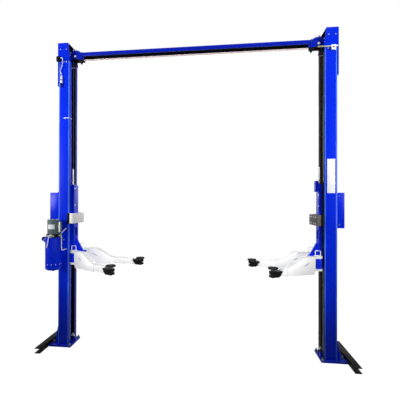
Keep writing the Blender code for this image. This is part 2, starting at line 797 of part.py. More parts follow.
def carriage(side, place):
    neck, face_y = CAR_NECK_Y, CAR_HALF_Y
    inner = neck - CAR_WALL
    outside = LIP_X + CAR_CLEAR
    half = [(CAR_BACK_X, neck), (outside, neck), (outside, face_y), (CAR_FACE_X, face_y)]
    inside = [(CAR_FACE_X - CAR_WALL, -inner), (CAR_BACK_X, -inner)]
    outline = half + [(a, -b) for a, b in reversed(half)]
    outline += list(reversed(inside)) + [(a, -b) for a, b in inside]
    body = prism(f"carriage_{side}", outline, CAR_LOW_Z, CAR_HIGH_Z, "blue_paint", place)
    lug = prism("lug", lug_outline(), LUG_LOW_Z, LUG_HIGH_Z, "blue_paint", place)
    rib_outline = [
        (CAR_FACE_X - 0.002, RIB_HIGH_Z),
        (CAR_FACE_X + 0.008, RIB_HIGH_Z),
        (RIB_TIP_X, RIB_LOW_Z),
        (RIB_TIP_X - 0.020, LUG_HIGH_Z - 0.002),
        (CAR_FACE_X - 0.002, LUG_HIGH_Z - 0.002),
    ]
    rib = prism("rib", rib_outline, -RIB_T / 2, RIB_T / 2, "blue_paint", place, "Y")
    shelf = block(
        "shelf",
        (CABLE_X - 0.022, -inner - 0.002, CAR_HIGH_Z - 0.050),
        (CAR_FACE_X - CAR_WALL + 0.002, -CABLE_Y + 0.018, CAR_HIGH_Z),
        "blue_paint",
        place,
    )
    fuse(body, *slider_ears(place), lug, rib, shelf)
    if side == "right":
        guide = block(
            "guide",
            (CAR_FACE_X - 0.002, -GUIDE_HALF_Y, GUIDE_LOW_Z),
            (CAR_FACE_X + GUIDE_X, GUIDE_HALF_Y, GUIDE_HIGH_Z),
            "blue_paint",
            place,
        )
        fuse(body, guide)
    window = block(
        "window",
        (CAR_FACE_X - CAR_WALL - 0.01, -WINDOW_HALF_Y, WINDOW_LOW_Z),
        (CAR_FACE_X + 0.01, WINDOW_HALF_Y, WINDOW_HIGH_Z),
        "blue_paint",
        place,
    )
    bores = []
    for y in (-PIN_Y, PIN_Y):
        at_pin = place @ Matrix.Translation((PIN_X, y, 0))
        bores.append(rod("bore", PIN_R + FIT, LUG_LOW_Z - 0.01, LUG_HIGH_Z + 0.01, "blue_paint", at_pin, steps=20))
    return cut(body, window, *bores)


def door_guard(side, place):
    low_x = CAR_FACE_X + FIT
    back_x = LIP_X + CAR_CLEAR
    outline = [(low_x, -CAR_HALF_Y), (low_x, -CAR_HALF_Y - FIT), (back_x, -CAR_HALF_Y - 0.006)]
    outline += [(back_x, GUARD_LOW_Y)]
    outline += arc((low_x + GUARD_T - 0.012, GUARD_LOW_Y + 0.012), 0.012, 270, 360, 3)
    outline += arc((low_x + GUARD_T - 0.012, GUARD_HIGH_Y - 0.012), 0.012, 0, 90, 3)
    outline += [(back_x, GUARD_HIGH_Y), (back_x, CAR_HALF_Y + 0.006), (low_x, CAR_HALF_Y + FIT)]
    outline += [(low_x, CAR_HALF_Y)]
    slot = "pale_rubber" if side == "left" else "grey_rubber"
    return prism(f"door_guard_{side}", outline, GUARD_LOW_Z, GUARD_HIGH_Z, slot, place)


def cable_stud(side, place):
    at = place @ Matrix.Translation((CABLE_X, -CABLE_Y, 0))
    foot = CAR_HIGH_Z + FIT
    upper = foot + NUT_H + NUT_GAP
    profile = [(0, foot), (NUT_R, foot), (NUT_R, foot + NUT_H), (STUD_R, foot + NUT_H)]
    profile += [(STUD_R, upper), (NUT_R, upper), (NUT_R, upper + NUT_H), (STUD_R, upper + NUT_H)]
    profile += [(STUD_R, STUD_TOP_Z - 0.010), (CABLE_R + 0.002, STUD_TOP_Z), (0, STUD_TOP_Z)]
    return lathe(f"cable_stud_{side}", profile, "zinc", at, steps=12)


def lift_cable(side, place):
    at = place @ Matrix.Translation((CABLE_X, -CABLE_Y, 0))
    top = sheave_centre()[1] - CABLE_LEAD - FIT
    return rod(f"lift_cable_{side}", CABLE_R, STUD_TOP_Z + FIT, top, "zinc", at, steps=8)


# Arms


def fork_low_z():
    return LUG_LOW_Z - FORK_PLAY - FORK_T


def fork_high_z():
    return LUG_HIGH_Z + FORK_PLAY + FORK_T


def arm_tube(name, place):
    """Outer tube with its fork, in the arm's own frame: origin on the pin, +X along the arm."""
    low, high = fork_low_z(), fork_high_z()
    top = ARM_LOW_Z + ARM_H
    half = ARM_W / 2
    profile = [
        (FORK_THROAT, low),
        (FORK_THROAT + 0.020, ARM_LOW_Z),
        (ARM_END, ARM_LOW_Z),
        (ARM_END, top),
        (ARM_TAPER_END, top),
        (ARM_TAPER_START, high),
        (FORK_THROAT, high),
    ]
    body = prism(name, profile, -half, half, "white_paint", place, "Y")
    forks = []
    for z in (low, high - FORK_T):
        root = FORK_THROAT + 0.012
        plan = arc((0, 0), FORK_R, 50, 310, 14) + [(root, -half + 0.001), (root, half - 0.001)]
        forks.append(prism("fork", plan, z, z + FORK_T, "white_paint", place))
    fuse(body, *forks)
    inner = half - ARM_WALL
    hollow = block(
        "hollow",
        (FORK_THROAT + 0.030, -inner, ARM_LOW_Z + ARM_WALL),
        (ARM_END + 0.01, inner, top - ARM_WALL),
        "white_paint",
        place,
    )
    bore = rod("bore", PIN_R + PIN_PLAY, low - 0.01, high + 0.01, "white_paint", place, steps=20)
    return cut(body, hollow, bore)


def slide_low_z():
    return ARM_LOW_Z + ARM_WALL + SLIDE_SEAT


def slide_high_z():
    return ARM_LOW_Z + ARM_H - ARM_WALL - SLIDE_PLAY


def tip_back_x(z):
    """The tip starts on a slanted line, farther back at its top."""
    share = (z - TIP_LOW_Z) / (TIP_TOP_Z - TIP_LOW_Z)
    return -TIP_BACK_LOW - share * (TIP_BACK_HIGH - TIP_BACK_LOW)


def extension(name, place):
    """Sliding tube, in its own frame: origin at the pad, +X along the arm."""
    low, high = slide_low_z(), slide_high_z()
    half = ARM_W / 2 - ARM_WALL - SLIDE_PLAY
    ledge = tip_back_x(TIP_TOP_Z)
    side_view = [(-EXT_TAIL, low), (tip_back_x(low) - FIT, low), (ledge - FIT, TIP_TOP_Z), (ledge - FIT, high)]
    side_view += [(-EXT_TAIL, high)]
    tube = prism(name, side_view, -half, half, "white_paint", place, "Y")
    inside = block(
        "inside",
        (-EXT_TAIL - 0.01, -half + EXT_WALL, low + EXT_WALL),
        (ledge - 0.012, half - EXT_WALL, high - EXT_WALL),
        "white_paint",
        place,
    )
    return cut(tube, inside)


def arm_tip(name, place):
    """Black tip: a block with a round end, a slanted back, a slot from the front and the screw's hole."""
    wide = TIP_HALF_W
    plan = [(-TIP_BACK_HIGH, -wide)] + arc((0, 0), wide, -90, 90, 12) + [(-TIP_BACK_HIGH, wide)]
    body = prism(name, plan, TIP_LOW_Z, TIP_TOP_Z, "black_paint", place)
    slant = [
        (tip_back_x(TIP_LOW_Z), TIP_LOW_Z),
        (tip_back_x(TIP_LOW_Z - 0.01), TIP_LOW_Z - 0.01),
        (-TIP_BACK_HIGH - 0.02, TIP_LOW_Z - 0.01),
        (-TIP_BACK_HIGH - 0.02, TIP_TOP_Z + 0.01),
        (tip_back_x(TIP_TOP_Z + 0.01), TIP_TOP_Z + 0.01),
    ]
    wedge = prism("slant", slant, -wide - 0.01, wide + 0.01, "black_paint", place, "Y")
    slot = block(
        "slot",
        (-TIP_SLOT_BACK, -wide - 0.01, TIP_SLOT_Z),
        (wide + 0.01, wide + 0.01, TIP_SLOT_Z + TIP_SLOT_H),
        "black_paint",
        place,
    )
    hole = rod("hole", SCREW_R + SCREW_PLAY, TIP_LOW_Z - 0.01, TIP_TOP_Z + 0.01, "black_paint", place, steps=20)
    return cut(body, wedge, slot, hole)


def pad(name, top, place):
    """Screw pad: threaded stem, steel plate and round rubber top."""
    plate = top - PAD_H - PLATE_H
    profile = [(0, SCREW_LOW_Z), (SCREW_R * 0.7, SCREW_LOW_Z), (SCREW_R, SCREW_LOW_Z + 0.006), (SCREW_R, plate)]
    profile += [(PLATE_R, plate), (PLATE_R, plate + PLATE_H), (PAD_R, plate + PLATE_H)]
    profile += [(PAD_R, top - 0.003), (PAD_R - 0.003, top), (0, top)]
    return lathe(name, profile, "rubber", place, steps=24)


def arm_pin(name, place):
    """Pin through lug and fork, with a flat head that carries the pull handle."""
    low = fork_low_z() - 0.004
    head_low = fork_high_z() + PIN_HEAD_GAP
    head_high = head_low + PIN_HEAD_T
    body = rod(name, PIN_R, low, head_low + 0.001, "white_paint", place, steps=20)
    reach = HANDLE_HALF_W + 2 * HANDLE_R
    flat = block("flat", (-reach, -0.012, head_low), (reach, 0.012, head_high), "white_paint", place)
    foot = head_high - 0.002
    top = head_high + HANDLE_H
    route = [(-HANDLE_HALF_W, 0, foot), (-HANDLE_HALF_W, 0, top), (HANDLE_HALF_W, 0, top), (HANDLE_HALF_W, 0, foot)]
    handle = swept("handle", rounded_path(route, 0.010, 3), HANDLE_R, "white_paint", place)
    return fuse(body, flat, handle)


def arm_set(side, place):
    for which in ("front", "rear"):
        arm = f"{side}_{which}"
        near_front = (which == "front") == (side == "left")
        sign = -1 if near_front else 1
        angle, reach, pad_top = ARM_POSES[arm]
        pin = place @ Matrix.Translation((PIN_X, sign * PIN_Y, 0))
        along = pin @ Matrix.Rotation(sign * math.radians(angle), 4, "Z")
        at_pad = along @ Matrix.Translation((reach, 0, 0))
        arm_pin(f"arm_pin_{arm}", pin)
        arm_tube(f"arm_{arm}", along)
        extension(f"arm_extension_{arm}", at_pad)
        arm_tip(f"arm_tip_{arm}", at_pad)
        pad(f"pad_{arm}", pad_top, at_pad)


def build():
    for old in list(bpy.data.objects):
        bpy.data.objects.remove(old)
    for side, place in SIDES.items():
        base_plate(side, place)
        stabilizer_leg(side, place)
        column(side, place)
        head(side, place)
        beam_bracket(side, place)
        sheave_pair(side, place)
        cylinder(side, place)
        lock_cover(side, place)
        carriage(side, place)
        door_guard(side, place)
        cable_stud(side, place)
        lift_cable(side, place)
        equalizer_cable(f"equalizer_cable_{side}", place)
        arm_set(side, place)
    crossbeam()
    shutoff_bar()
    limit_switch()
    switch_lead()
    power_unit()


build()
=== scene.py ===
"""Looks of the two post car lift: paint, metal and rubber, small fittings, camera and studio light."""

import json
import math

import bmesh
import bpy
from mathutils import Matrix, Vector


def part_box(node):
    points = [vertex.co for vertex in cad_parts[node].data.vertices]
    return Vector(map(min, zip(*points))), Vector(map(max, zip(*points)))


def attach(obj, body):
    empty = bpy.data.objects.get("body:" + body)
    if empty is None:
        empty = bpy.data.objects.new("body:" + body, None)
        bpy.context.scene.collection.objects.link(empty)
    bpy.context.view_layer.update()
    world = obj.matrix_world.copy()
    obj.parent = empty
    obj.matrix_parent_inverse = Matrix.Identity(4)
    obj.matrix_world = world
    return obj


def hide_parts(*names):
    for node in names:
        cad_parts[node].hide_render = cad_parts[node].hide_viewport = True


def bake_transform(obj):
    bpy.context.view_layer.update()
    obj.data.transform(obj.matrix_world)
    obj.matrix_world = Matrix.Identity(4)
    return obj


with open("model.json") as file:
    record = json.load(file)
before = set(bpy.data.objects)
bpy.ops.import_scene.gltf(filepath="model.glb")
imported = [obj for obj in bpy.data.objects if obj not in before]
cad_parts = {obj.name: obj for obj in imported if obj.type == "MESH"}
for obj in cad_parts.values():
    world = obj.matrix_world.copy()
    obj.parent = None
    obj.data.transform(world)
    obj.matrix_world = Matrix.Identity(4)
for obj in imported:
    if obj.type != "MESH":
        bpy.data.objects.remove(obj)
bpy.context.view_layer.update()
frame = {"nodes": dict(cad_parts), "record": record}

HERE = Matrix.Identity(4)
MOUNTS = {mount["name"]: Vector(mount["pos_m"]) for mount in frame["record"]["mounts"]}
SPAN = MOUNTS["base_right"].x
TURN = Matrix.Translation((SPAN, 0, 0)) @ Matrix.Rotation(math.pi, 4, "Z")
SIDES = {"left": HERE, "right": TURN}

# The camera stands a little right of the lift's middle and looks slightly to the left
CAMERA_AT = (1.8787, -3.862, 1.7457)
CAMERA_YAW = 0.1232
CAMERA_PITCH = 0.0050
CAMERA_ROLL = 0.0028
CAMERA_LENS = 29.48
CAMERA_SHIFT = (0.0499, -0.0003)
SENSOR_WIDTH = 36

# Name, place, target, size, spread in degrees and power of each lamp
LAMPS = (
    ("lamp_left", (-3.8, -3.5, 2.9), (0.0, -0.1, 2.7), (0.8, 2.0), 50, 31),
    ("lamp_right", (6.87, -3.5, 2.9), (3.07, -0.1, 2.7), (0.8, 2.0), 50, 31),
    ("lamp_arms_left", (1.90, -2.9, 1.7), (0.58, -0.15, 1.02), (0.5, 0.5), 24, 1.7),
    ("lamp_arms_right", (1.17, -2.9, 1.7), (2.49, -0.15, 1.02), (0.5, 0.5), 24, 1.7),
    ("lamp_top", (1.5, -1.0, 5.6), (1.5, 0.0, 1.0), (4.0, 3.0), 180, 60),
    ("lamp_back", (1.5, 5.0, 3.0), (1.5, 0.0, 1.8), (4.0, 3.0), 180, 60),
)
WORLD_LIGHT = 0.13
FLOOR_REACH = 30.0
FLOOR_Z = -0.0005
FLOOR_GLOW = 0.97
FLOOR_GREY = (0.25, 0.25, 0.25, 1.0)

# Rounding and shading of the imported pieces, and shading of the fittings
WELD_DISTANCE = 0.00002
FLAT_ANGLE = math.radians(0.5)
EDGE_WIDTH = 0.0012
EDGE_ANGLE = math.radians(40)
PIECE_SMOOTH_ANGLE = math.radians(32)
FITTING_SMOOTH_ANGLE = math.radians(35)

# Sizes shared with the part's source, in the frame of a post: its origin lies under the middle of
# the column, with +X towards the other post
TOP_Z = 3.66
BASE_T = 0.020
COL_HALF_X, COL_HALF_Y = 0.0715, 0.112
HEAD_WEB_X = -0.083
BEAM_HALF_Y = 0.050
BRACKET_FACE = 0.0583
AXLE_X, AXLE_Z = 0.112, 3.514
LOCK_OUT_X = -COL_HALF_X - 0.112
FACE_X = 0.108
PIN_X, PIN_Y = 0.140, 0.130
CABLE_X, CABLE_Y = 0.078, 0.029
PLUG_X, PLUG_Y = -0.029, -0.1283
UNIT_X, UNIT_Y = -0.066, -0.232
MOTOR_R, TANK_R = 0.067, 0.090

# Bolts and screws in the frame of a post: pairs are X and Z, or X and Y for the anchors, and a side of
# the lock cover is its Y and the way that it faces
HEAD_BOLTS = ((-0.050, 3.582), (0.024, 3.582))
SPLICE_BOLTS = ((-0.003, 3.431), (0.028, 3.431))
BRACKET_BOLTS = ((0.052, 3.562), (0.050, 3.531))
LAP_BOLT_Y = 0.070
LAP_BOLTS_Z = (3.19, 3.30, 3.40, 3.48, 3.58)
ANCHORS = ((-0.1415, 0.052), (0.087, 0.1215))
LIP_BOLT_Y = 0.085
LIP_BOLTS_Z = (0.178, 0.239)
LOCK_SIDES = ((-0.0933, -1), (-0.0027, 1))
LOCK_SIDE_X = -0.125
LOCK_SCREWS_Y = (-0.073, -0.023)
LOCK_SCREWS_Z = (1.49, 1.81)
UNIT_BOLTS_X = (0.005, -0.122)
UNIT_BOLTS_Z = (1.162, 1.283)
GUARD_BOLTS_Y = (-0.150, -0.080, 0.030, 0.100)
GUARD_BOLTS_Z = (1.505, 1.577)
FACE_BOLT_Y = 0.044
FACE_BOLTS_Z = {"left": (1.70, 1.90), "right": (1.70, 1.82)}

# Boxes in the frame of a post: X from and to, half the width in Y, and Z from and to. Inside the
# dark ones the colour turns near black: painted shade in the hollows of the sections, and a dark lower
# part on the hanger. What lies outside both flat ones is a bend of the column, with a painted highlight.
ALL_X, ALL_Y, ALL_Z = (-1.0, 1.0), 1.0, (0, 4)
BEAM_SHADE = ((0, SPAN), BEAM_HALF_Y - 0.003, (3.50, 3.563))
COLUMN_SHADE = (((-0.069, 0.069), 0.098, ALL_Z), ((-0.057, 0.057), 0.109, ALL_Z))
COLUMN_FLAT = (((-0.053, 0.053), ALL_Y, ALL_Z), (ALL_X, 0.101, ALL_Z))
RIGHT_LIPS_SHADE = (((0.050, 0.0725), 0.098, ALL_Z), ((0.0655, 0.0725), 0.113, ALL_Z))
HEAD_SHADE = ((-0.074, 0.09), 0.109, (3.448, 3.6555))
CARRIAGE_SHADE = ((-0.05, FACE_X - 0.0095), 0.0405, ALL_Z)
HANGER_DARK = ((0.15, 0.24), 0.07, (3.40, 3.474))


# Camera and light


def add_camera():
    yaw, pitch, roll = CAMERA_YAW, CAMERA_PITCH, CAMERA_ROLL
    ahead = Vector((-math.sin(yaw) * math.cos(pitch), math.cos(yaw) * math.cos(pitch), math.sin(pitch)))
    level = Vector((math.cos(yaw), math.sin(yaw), 0))
    above = level.cross(ahead)
    right = level * math.cos(roll) + above * math.sin(roll)
    up = above * math.cos(roll) - level * math.sin(roll)
    data = bpy.data.cameras.new("camera")
    data.sensor_width = SENSOR_WIDTH
    data.lens = CAMERA_LENS
    data.shift_x, data.shift_y = CAMERA_SHIFT
    data.clip_start, data.clip_end = 0.1, 100
    camera = bpy.data.objects.new("camera", data)
    bpy.context.scene.collection.objects.link(camera)
    turn = Matrix((right, up, -ahead)).transposed().to_4x4()
    camera.matrix_world = Matrix.Translation(CAMERA_AT) @ turn
    bpy.context.scene.camera = camera


def add_lamp(name, place, target, size, spread, power):
    """Rectangular soft lamp that faces a target point."""
    data = bpy.data.lights.new(name, "AREA")
    data.shape = "RECTANGLE"
    data.size, data.size_y = size
    data.spread = math.radians(spread)
    data.energy = power
    lamp = bpy.data.objects.new(name, data)
    bpy.context.scene.collection.objects.link(lamp)
    lamp.location = place
    lamp.rotation_euler = (Vector(target) - Vector(place)).to_track_quat("-Z", "Y").to_euler()
    lamp.visible_camera = False


# Shader tools


class Shader:
    """A material whose nodes are added and linked by name."""

    def __init__(self, name):
        self.material = bpy.data.materials.new(name)
        self.material.use_nodes = True
        self.tree = self.material.node_tree
        self.surface = self.tree.nodes["Principled BSDF"]

    def node(self, kind, settings=None, **inputs):
        made = self.tree.nodes.new("ShaderNode" + kind)
        for key, value in (settings or {}).items():
            setattr(made, key, value)
        for key, value in inputs.items():
            self.feed(made, key.replace("_", " "), value)
        return made

    def feed(self, node, socket, value):
        """Sets an input to a number or colour, or links another node's first output to it."""
        found = node.inputs[int(socket)] if socket.isdigit() else node.inputs[socket]
        if isinstance(value, bpy.types.Node):
            value = value.outputs[0]
        if isinstance(value, bpy.types.NodeSocket):
            self.tree.links.new(value, found)
        else:
            found.default_value = value

    def set(self, socket, value):
        self.feed(self.surface, socket, value)

    def coordinates(self):
        return self.node("TexCoord").outputs["Object"]

    def noise(self, scale, detail=3.0, roughness=0.5):
        settings = {"Scale": scale, "Detail": detail, "Roughness": roughness}
        return self.node("TexNoise", Vector=self.coordinates(), **settings)

    def spread(self, source, low, high, from_low=0.3, from_high=0.7):
        """Maps a stretch of a pattern, by default its middle, to a range of values."""
        made = self.node("MapRange")
        self.feed(made, "Value", source)
        ends = {"From Min": from_low, "From Max": from_high, "To Min": low, "To Max": high}
        for socket, value in ends.items():
            self.feed(made, socket, value)
        return made

    def blend_colours(self, share, one, two):
        made = self.node("Mix", {"data_type": "RGBA"})
        self.feed(made, "0", share)
        self.feed(made, "6", one)
        self.feed(made, "7", two)
        return made.outputs[2]

    def maths(self, operation, one, two):
        made = self.node("Math", {"operation": operation})
        self.feed(made, "0", one)
        self.feed(made, "1", two)
        return made.outputs[0]

    def bump(self, height, strength, distance):
        made = self.node("Bump", Strength=strength, Distance=distance, Height=height)
        self.set("Normal", made)

    def edges(self, radius):
        """Rises towards 1 along sharp edges, from how far a rounded normal turns there."""
        rounded = self.node("Bevel", {"samples": 6}, Radius=radius)
        straight = self.node("NewGeometry").outputs["Normal"]
        same = self.node("VectorMath", {"operation": "DOT_PRODUCT"})
        self.feed(same, "0", rounded)
        self.feed(same, "1", straight)
        return self.spread(same.outputs["Value"], 1.0, 0.0, from_low=0.86, from_high=0.995)

    def within(self, low, high):
        """1 inside a box that is given in the piece's own coordinates, else 0."""
        offset = self.node("VectorMath", {"operation": "SUBTRACT"})
        self.feed(offset, "0", self.coordinates())
        self.feed(offset, "1", [(a + b) / 2 for a, b in zip(low, high)])
        size = self.node("VectorMath", {"operation": "ABSOLUTE"})
        self.feed(size, "0", offset)
        parts = self.node("SeparateXYZ", Vector=size)
        share = 1.0
        for axis, a, b in zip("XYZ", low, high):
            near = self.maths("LESS_THAN", parts.outputs[axis], (b - a) / 2)
            share = self.maths("MULTIPLY", near, share)
        return share


def tinted(colour, factor):
    return tuple(min(1.0, c * factor) for c in colour[:3]) + (1.0,)


# Colours of the paints

BLUE = (0.0005, 0.022, 0.72, 1.0)
# Darker copy of the blue for the beam and its brackets: painted shade
SHADED_BEAM_BLUE = (0.0008, 0.012, 0.42, 1.0)
# Pale blue of edges and bends: partly wear, partly painted highlight
WEAR_AND_HIGHLIGHT_BLUE = (0.14, 0.32, 1.0, 1.0)
BLACK = (0.004, 0.004, 0.005, 1.0)
# Grey of the black paint's edges: partly wear, partly painted highlight
WEAR_AND_HIGHLIGHT_BLACK = (0.06, 0.06, 0.06, 1.0)
# Near black of the darkened boxes: painted shade in the hollows, and a dark lower part on a hanger
NEAR_BLACK = (0.006, 0.007, 0.012, 1.0)
DUST = (0.16, 0.15, 0.14, 1.0)


def paint(name, colour, roughness=0.3, gloss=0.5, peel=0.10, wear_and_highlight=None, darkened=(), flats=()):
    """Sprayed enamel: slight unevenness of colour and gloss, orange peel, a little dust, and pale edges,
    partly wear and partly painted highlight.

    Inside the boxes given as darkened, the colour turns near black: painted shade in the hollows of a
    section, and a dark lower part on a hanger. Outside both boxes given as flats lie the bends of a
    section, which get a painted highlight in the pale colour.
    """
    made = Shader(name)
    cloudy = made.spread(made.noise(2.2), 0.0, 1.0)
    base = made.blend_colours(cloudy, tinted(colour, 0.92), tinted(colour, 1.05))
    if wear_and_highlight:
        # Paler edges: partly wear, partly painted highlight
        patchy = made.spread(made.noise(7.0, detail=5.0), 0.10, 0.50)
        rubbed_and_lit = made.maths("MULTIPLY", made.edges(radius=0.005), patchy)
        base = made.blend_colours(rubbed_and_lit, base, wear_and_highlight)
    if flats:
        # Painted highlight along the bends of a section
        flat = made.maths("MAXIMUM", *[made.within(*box) for box in flats])
        patchy = made.spread(made.noise(5.0, detail=5.0), 0.35, 0.65)
        bend_highlight = made.maths("MULTIPLY", made.maths("SUBTRACT", 1.0, flat), patchy)
        base = made.blend_colours(bend_highlight, base, wear_and_highlight)
    facing = made.node("SeparateXYZ", Vector=made.node("NewGeometry").outputs["Normal"]).outputs["Z"]
    ledge = made.spread(facing, 0.0, 1.0, from_low=0.8, from_high=1.0)
    dusty = made.maths("MULTIPLY", ledge, made.spread(made.noise(14.0, detail=5.0), 0.02, 0.14))
    base = made.blend_colours(dusty, base, DUST)
    # Near black in the darkened boxes: painted shade in hollows, and a dark lower part on a hanger
    for box in darkened:
        base = made.blend_colours(made.within(*box), base, NEAR_BLACK)
    made.set("Base Color", base)
    made.set("Roughness", made.spread(made.noise(9.0, detail=4.0), roughness - 0.04, roughness + 0.07))
    made.set("Specular IOR Level", gloss)
    made.bump(made.noise(260.0, detail=1.0), strength=peel, distance=0.0006)
    return made.material


def blue(name, darkened=(), flats=(), colour=BLUE):
    """Blue enamel of the lift, pale along edges and bends: partly wear, partly painted highlight."""
    finish = {"roughness": 0.28, "gloss": 0.07, "peel": 0.04}
    return paint(name, colour, wear_and_highlight=WEAR_AND_HIGHLIGHT_BLUE, darkened=darkened, flats=flats, **finish)


def zinc(name, colour=(0.62, 0.63, 0.65, 1.0), roughness=0.30, metallic=0.9):
    """Zinc plating with a faint cloudy spangle."""
    made = Shader(name)
    cells = made.node("TexVoronoi", Vector=made.coordinates(), Scale=160.0).outputs["Color"]
    made.set("Base Color", made.blend_colours(cells, tinted(colour, 0.88), tinted(colour, 1.08)))
    made.set("Metallic", metallic)
    made.set("Roughness", made.spread(made.noise(60.0), roughness - 0.06, roughness + 0.12))
    made.bump(made.noise(500.0, detail=1.0), strength=0.06, distance=0.0004)
    return made.material


def greased_iron(name):
    """Cast iron wheels with dark grease and a little rust."""
    made = Shader(name)
    grease, rust = (0.012, 0.009, 0.010, 1.0), (0.075, 0.012, 0.012, 1.0)
    rusty = made.spread(made.noise(30.0, detail=6.0), 0.0, 1.0, from_low=0.45, from_high=0.7)
    made.set("Base Color", made.blend_colours(rusty, grease, rust))
    made.set("Metallic", 0.3)
    made.set("Specular IOR Level", 0.2)
    made.set("Roughness", made.spread(made.noise(60.0), 0.35, 0.6))
    made.bump(made.noise(240.0, detail=3.0), strength=0.3, distance=0.0008)
    return made.material


def wire_rope(name):
    """Laid steel strands: diagonal ridges round the rope, with dark grease in the grooves."""
    made = Shader(name)
    grease, steel = (0.006, 0.006, 0.009, 1.0), (0.035, 0.033, 0.048, 1.0)
    diagonal = {"wave_type": "BANDS", "bands_direction": "DIAGONAL"}
    ridges = made.node("TexWave", diagonal, Vector=made.coordinates(), Scale=110.0)
    made.set("Base Color", made.blend_colours(ridges.outputs["Fac"], grease, steel))
    made.set("Metallic", 0.2)
    made.set("Specular IOR Level", 0.25)
    made.set("Roughness", made.spread(made.noise(90.0), 0.4, 0.6))
    made.bump(ridges, strength=0.7, distance=0.001)
    return made.material


def rubber(name, colour, roughness=0.75):
    """Moulded rubber: fine grain, paler where it is rubbed."""
    made = Shader(name)
    cloudy = made.spread(made.noise(18.0, detail=5.0), 0.0, 1.0)
    made.set("Base Color", made.blend_colours(cloudy, tinted(colour, 0.8), tinted(colour, 1.25)))
    made.set("Roughness", made.spread(made.noise(40.0), roughness - 0.08, roughness + 0.08))
    made.set("Specular IOR Level", 0.2)
    made.bump(made.noise(420.0, detail=2.0), strength=0.25, distance=0.0008)
    return made.material


def hammered(name, colour):
    """Grey hammer finish of the motor's housing."""
    made = Shader(name)
    cells = made.node("TexVoronoi", {"feature": "SMOOTH_F1"}, Vector=made.coordinates(), Scale=190.0)
    cloudy = made.spread(made.noise(20.0), 0.0, 1.0)
    made.set("Base Color", made.blend_colours(cloudy, tinted(colour, 0.85), tinted(colour, 1.15)))
    made.set("Specular IOR Level", 0.25)
    made.set("Roughness", made.spread(cells.outputs["Distance"], 0.30, 0.55, from_low=0.0, from_high=1.0))
    made.bump(cells.outputs["Distance"], strength=0.25, distance=0.001)
    return made.material


def plastic(name, colour, roughness=0.45):
    """Moulded plastic or a printed foil left blank, with faint scuffs."""
    made = Shader(name)
    scuffs = made.spread(made.noise(35.0, detail=6.0), 0.0, 1.0)
    made.set("Base Color", made.blend_colours(scuffs, tinted(colour, 0.94), tinted(colour, 1.03)))
    made.set("Roughness", made.spread(made.noise(50.0), roughness - 0.06, roughness + 0.10))
    made.set("Specular IOR Level", 0.3)
    made.bump(made.noise(300.0, detail=1.0), strength=0.05, distance=0.0004)
    return made.material


LOOKS = {
    "blue_paint": blue("blue_look"),
    "white_paint": paint("white_look", (0.90, 0.90, 0.90, 1.0), roughness=0.35, gloss=0.4),
    "black_paint": paint("black_look", BLACK, roughness=0.50, gloss=0.05, wear_and_highlight=WEAR_AND_HIGHLIGHT_BLACK),
    "grey_paint": hammered("motor_look", (0.095, 0.140, 0.150, 1.0)),
    "zinc": zinc("zinc_look"),
    "rubber": rubber("rubber_look", (0.005, 0.005, 0.006, 1.0)),
    "pale_rubber": plastic("pale_rubber_look", (0.95, 0.91, 0.91, 1.0), roughness=0.6),
    "grey_rubber": rubber("grey_rubber_look", (0.13, 0.12, 0.115, 1.0)),
    "red_foam": rubber("red_foam_look", (0.78, 0.58, 0.56, 1.0), roughness=0.8),
}
WIRE = wire_rope("rope_look")
IRON = greased_iron("iron_look")
LABEL = plastic("label_look", (0.88, 0.89, 0.93, 1.0))
BRASS = zinc("brass_look", (0.30, 0.32, 0.20, 1.0), roughness=0.35, metallic=0.6)
# Pale finish of the sheave guard: its pale colour paints the highlight along the arc over the sheaves
GUARD_HIGHLIGHT = zinc("sheave_guard_highlight_look", (0.72, 0.72, 0.84, 1.0), roughness=0.45, metallic=0.1)
DULL = zinc("anchor_look", (0.16, 0.165, 0.18, 1.0), roughness=0.45, metallic=0.5)
SCREW = zinc("screw_look", (0.05, 0.05, 0.055, 1.0), roughness=0.40, metallic=0.5)


def turned_box(side, box):
    """Corners in the lift's frame of a box that is given in the frame of a post."""
    (left, right), half_y, (low, high) = box
    ends = [SIDES[side] @ Vector(corner) for corner in ((left, -half_y, low), (right, half_y, high))]
    return [tuple(pick(end[i] for end in ends) for i in range(3)) for pick in (min, max)]


def special_looks():
    """Looks of CAD pieces that differ from the rest of their slot."""
    looks = {"release_lever": LOOKS["white_paint"]}
    # The beam: painted shade inside its channel, and the darker copy of the blue as painted shade
    looks["crossbeam"] = blue("beam_look", [turned_box("left", BEAM_SHADE)], colour=SHADED_BEAM_BLUE)
    for side in SIDES:
        # Painted shade inside the column, on the right post's lips too, inside the head and inside the
        # carriage; painted highlight on the column's bends
        boxes = COLUMN_SHADE + (RIGHT_LIPS_SHADE if side == "right" else ())
        darkened = [turned_box(side, box) for box in boxes]
        flats = [turned_box(side, box) for box in COLUMN_FLAT]
        looks[f"column_{side}"] = blue(f"column_{side}_look", darkened, flats)
        looks[f"head_{side}"] = blue(f"head_{side}_look", [turned_box(side, HEAD_SHADE)])
        looks[f"carriage_{side}"] = blue(f"carriage_{side}_look", [turned_box(side, CARRIAGE_SHADE)])
        # The beam's bracket: the darker copy of the blue as painted shade, and a near black lower part on
        # its hanger
        hanger = turned_box(side, HANGER_DARK)
        looks[f"beam_bracket_{side}"] = blue(f"bracket_{side}_look", [hanger], colour=SHADED_BEAM_BLUE)
        looks[f"sheaves_{side}"] = IRON
        looks[f"equalizer_cable_{side}"] = WIRE
    return looks


# CAD pieces


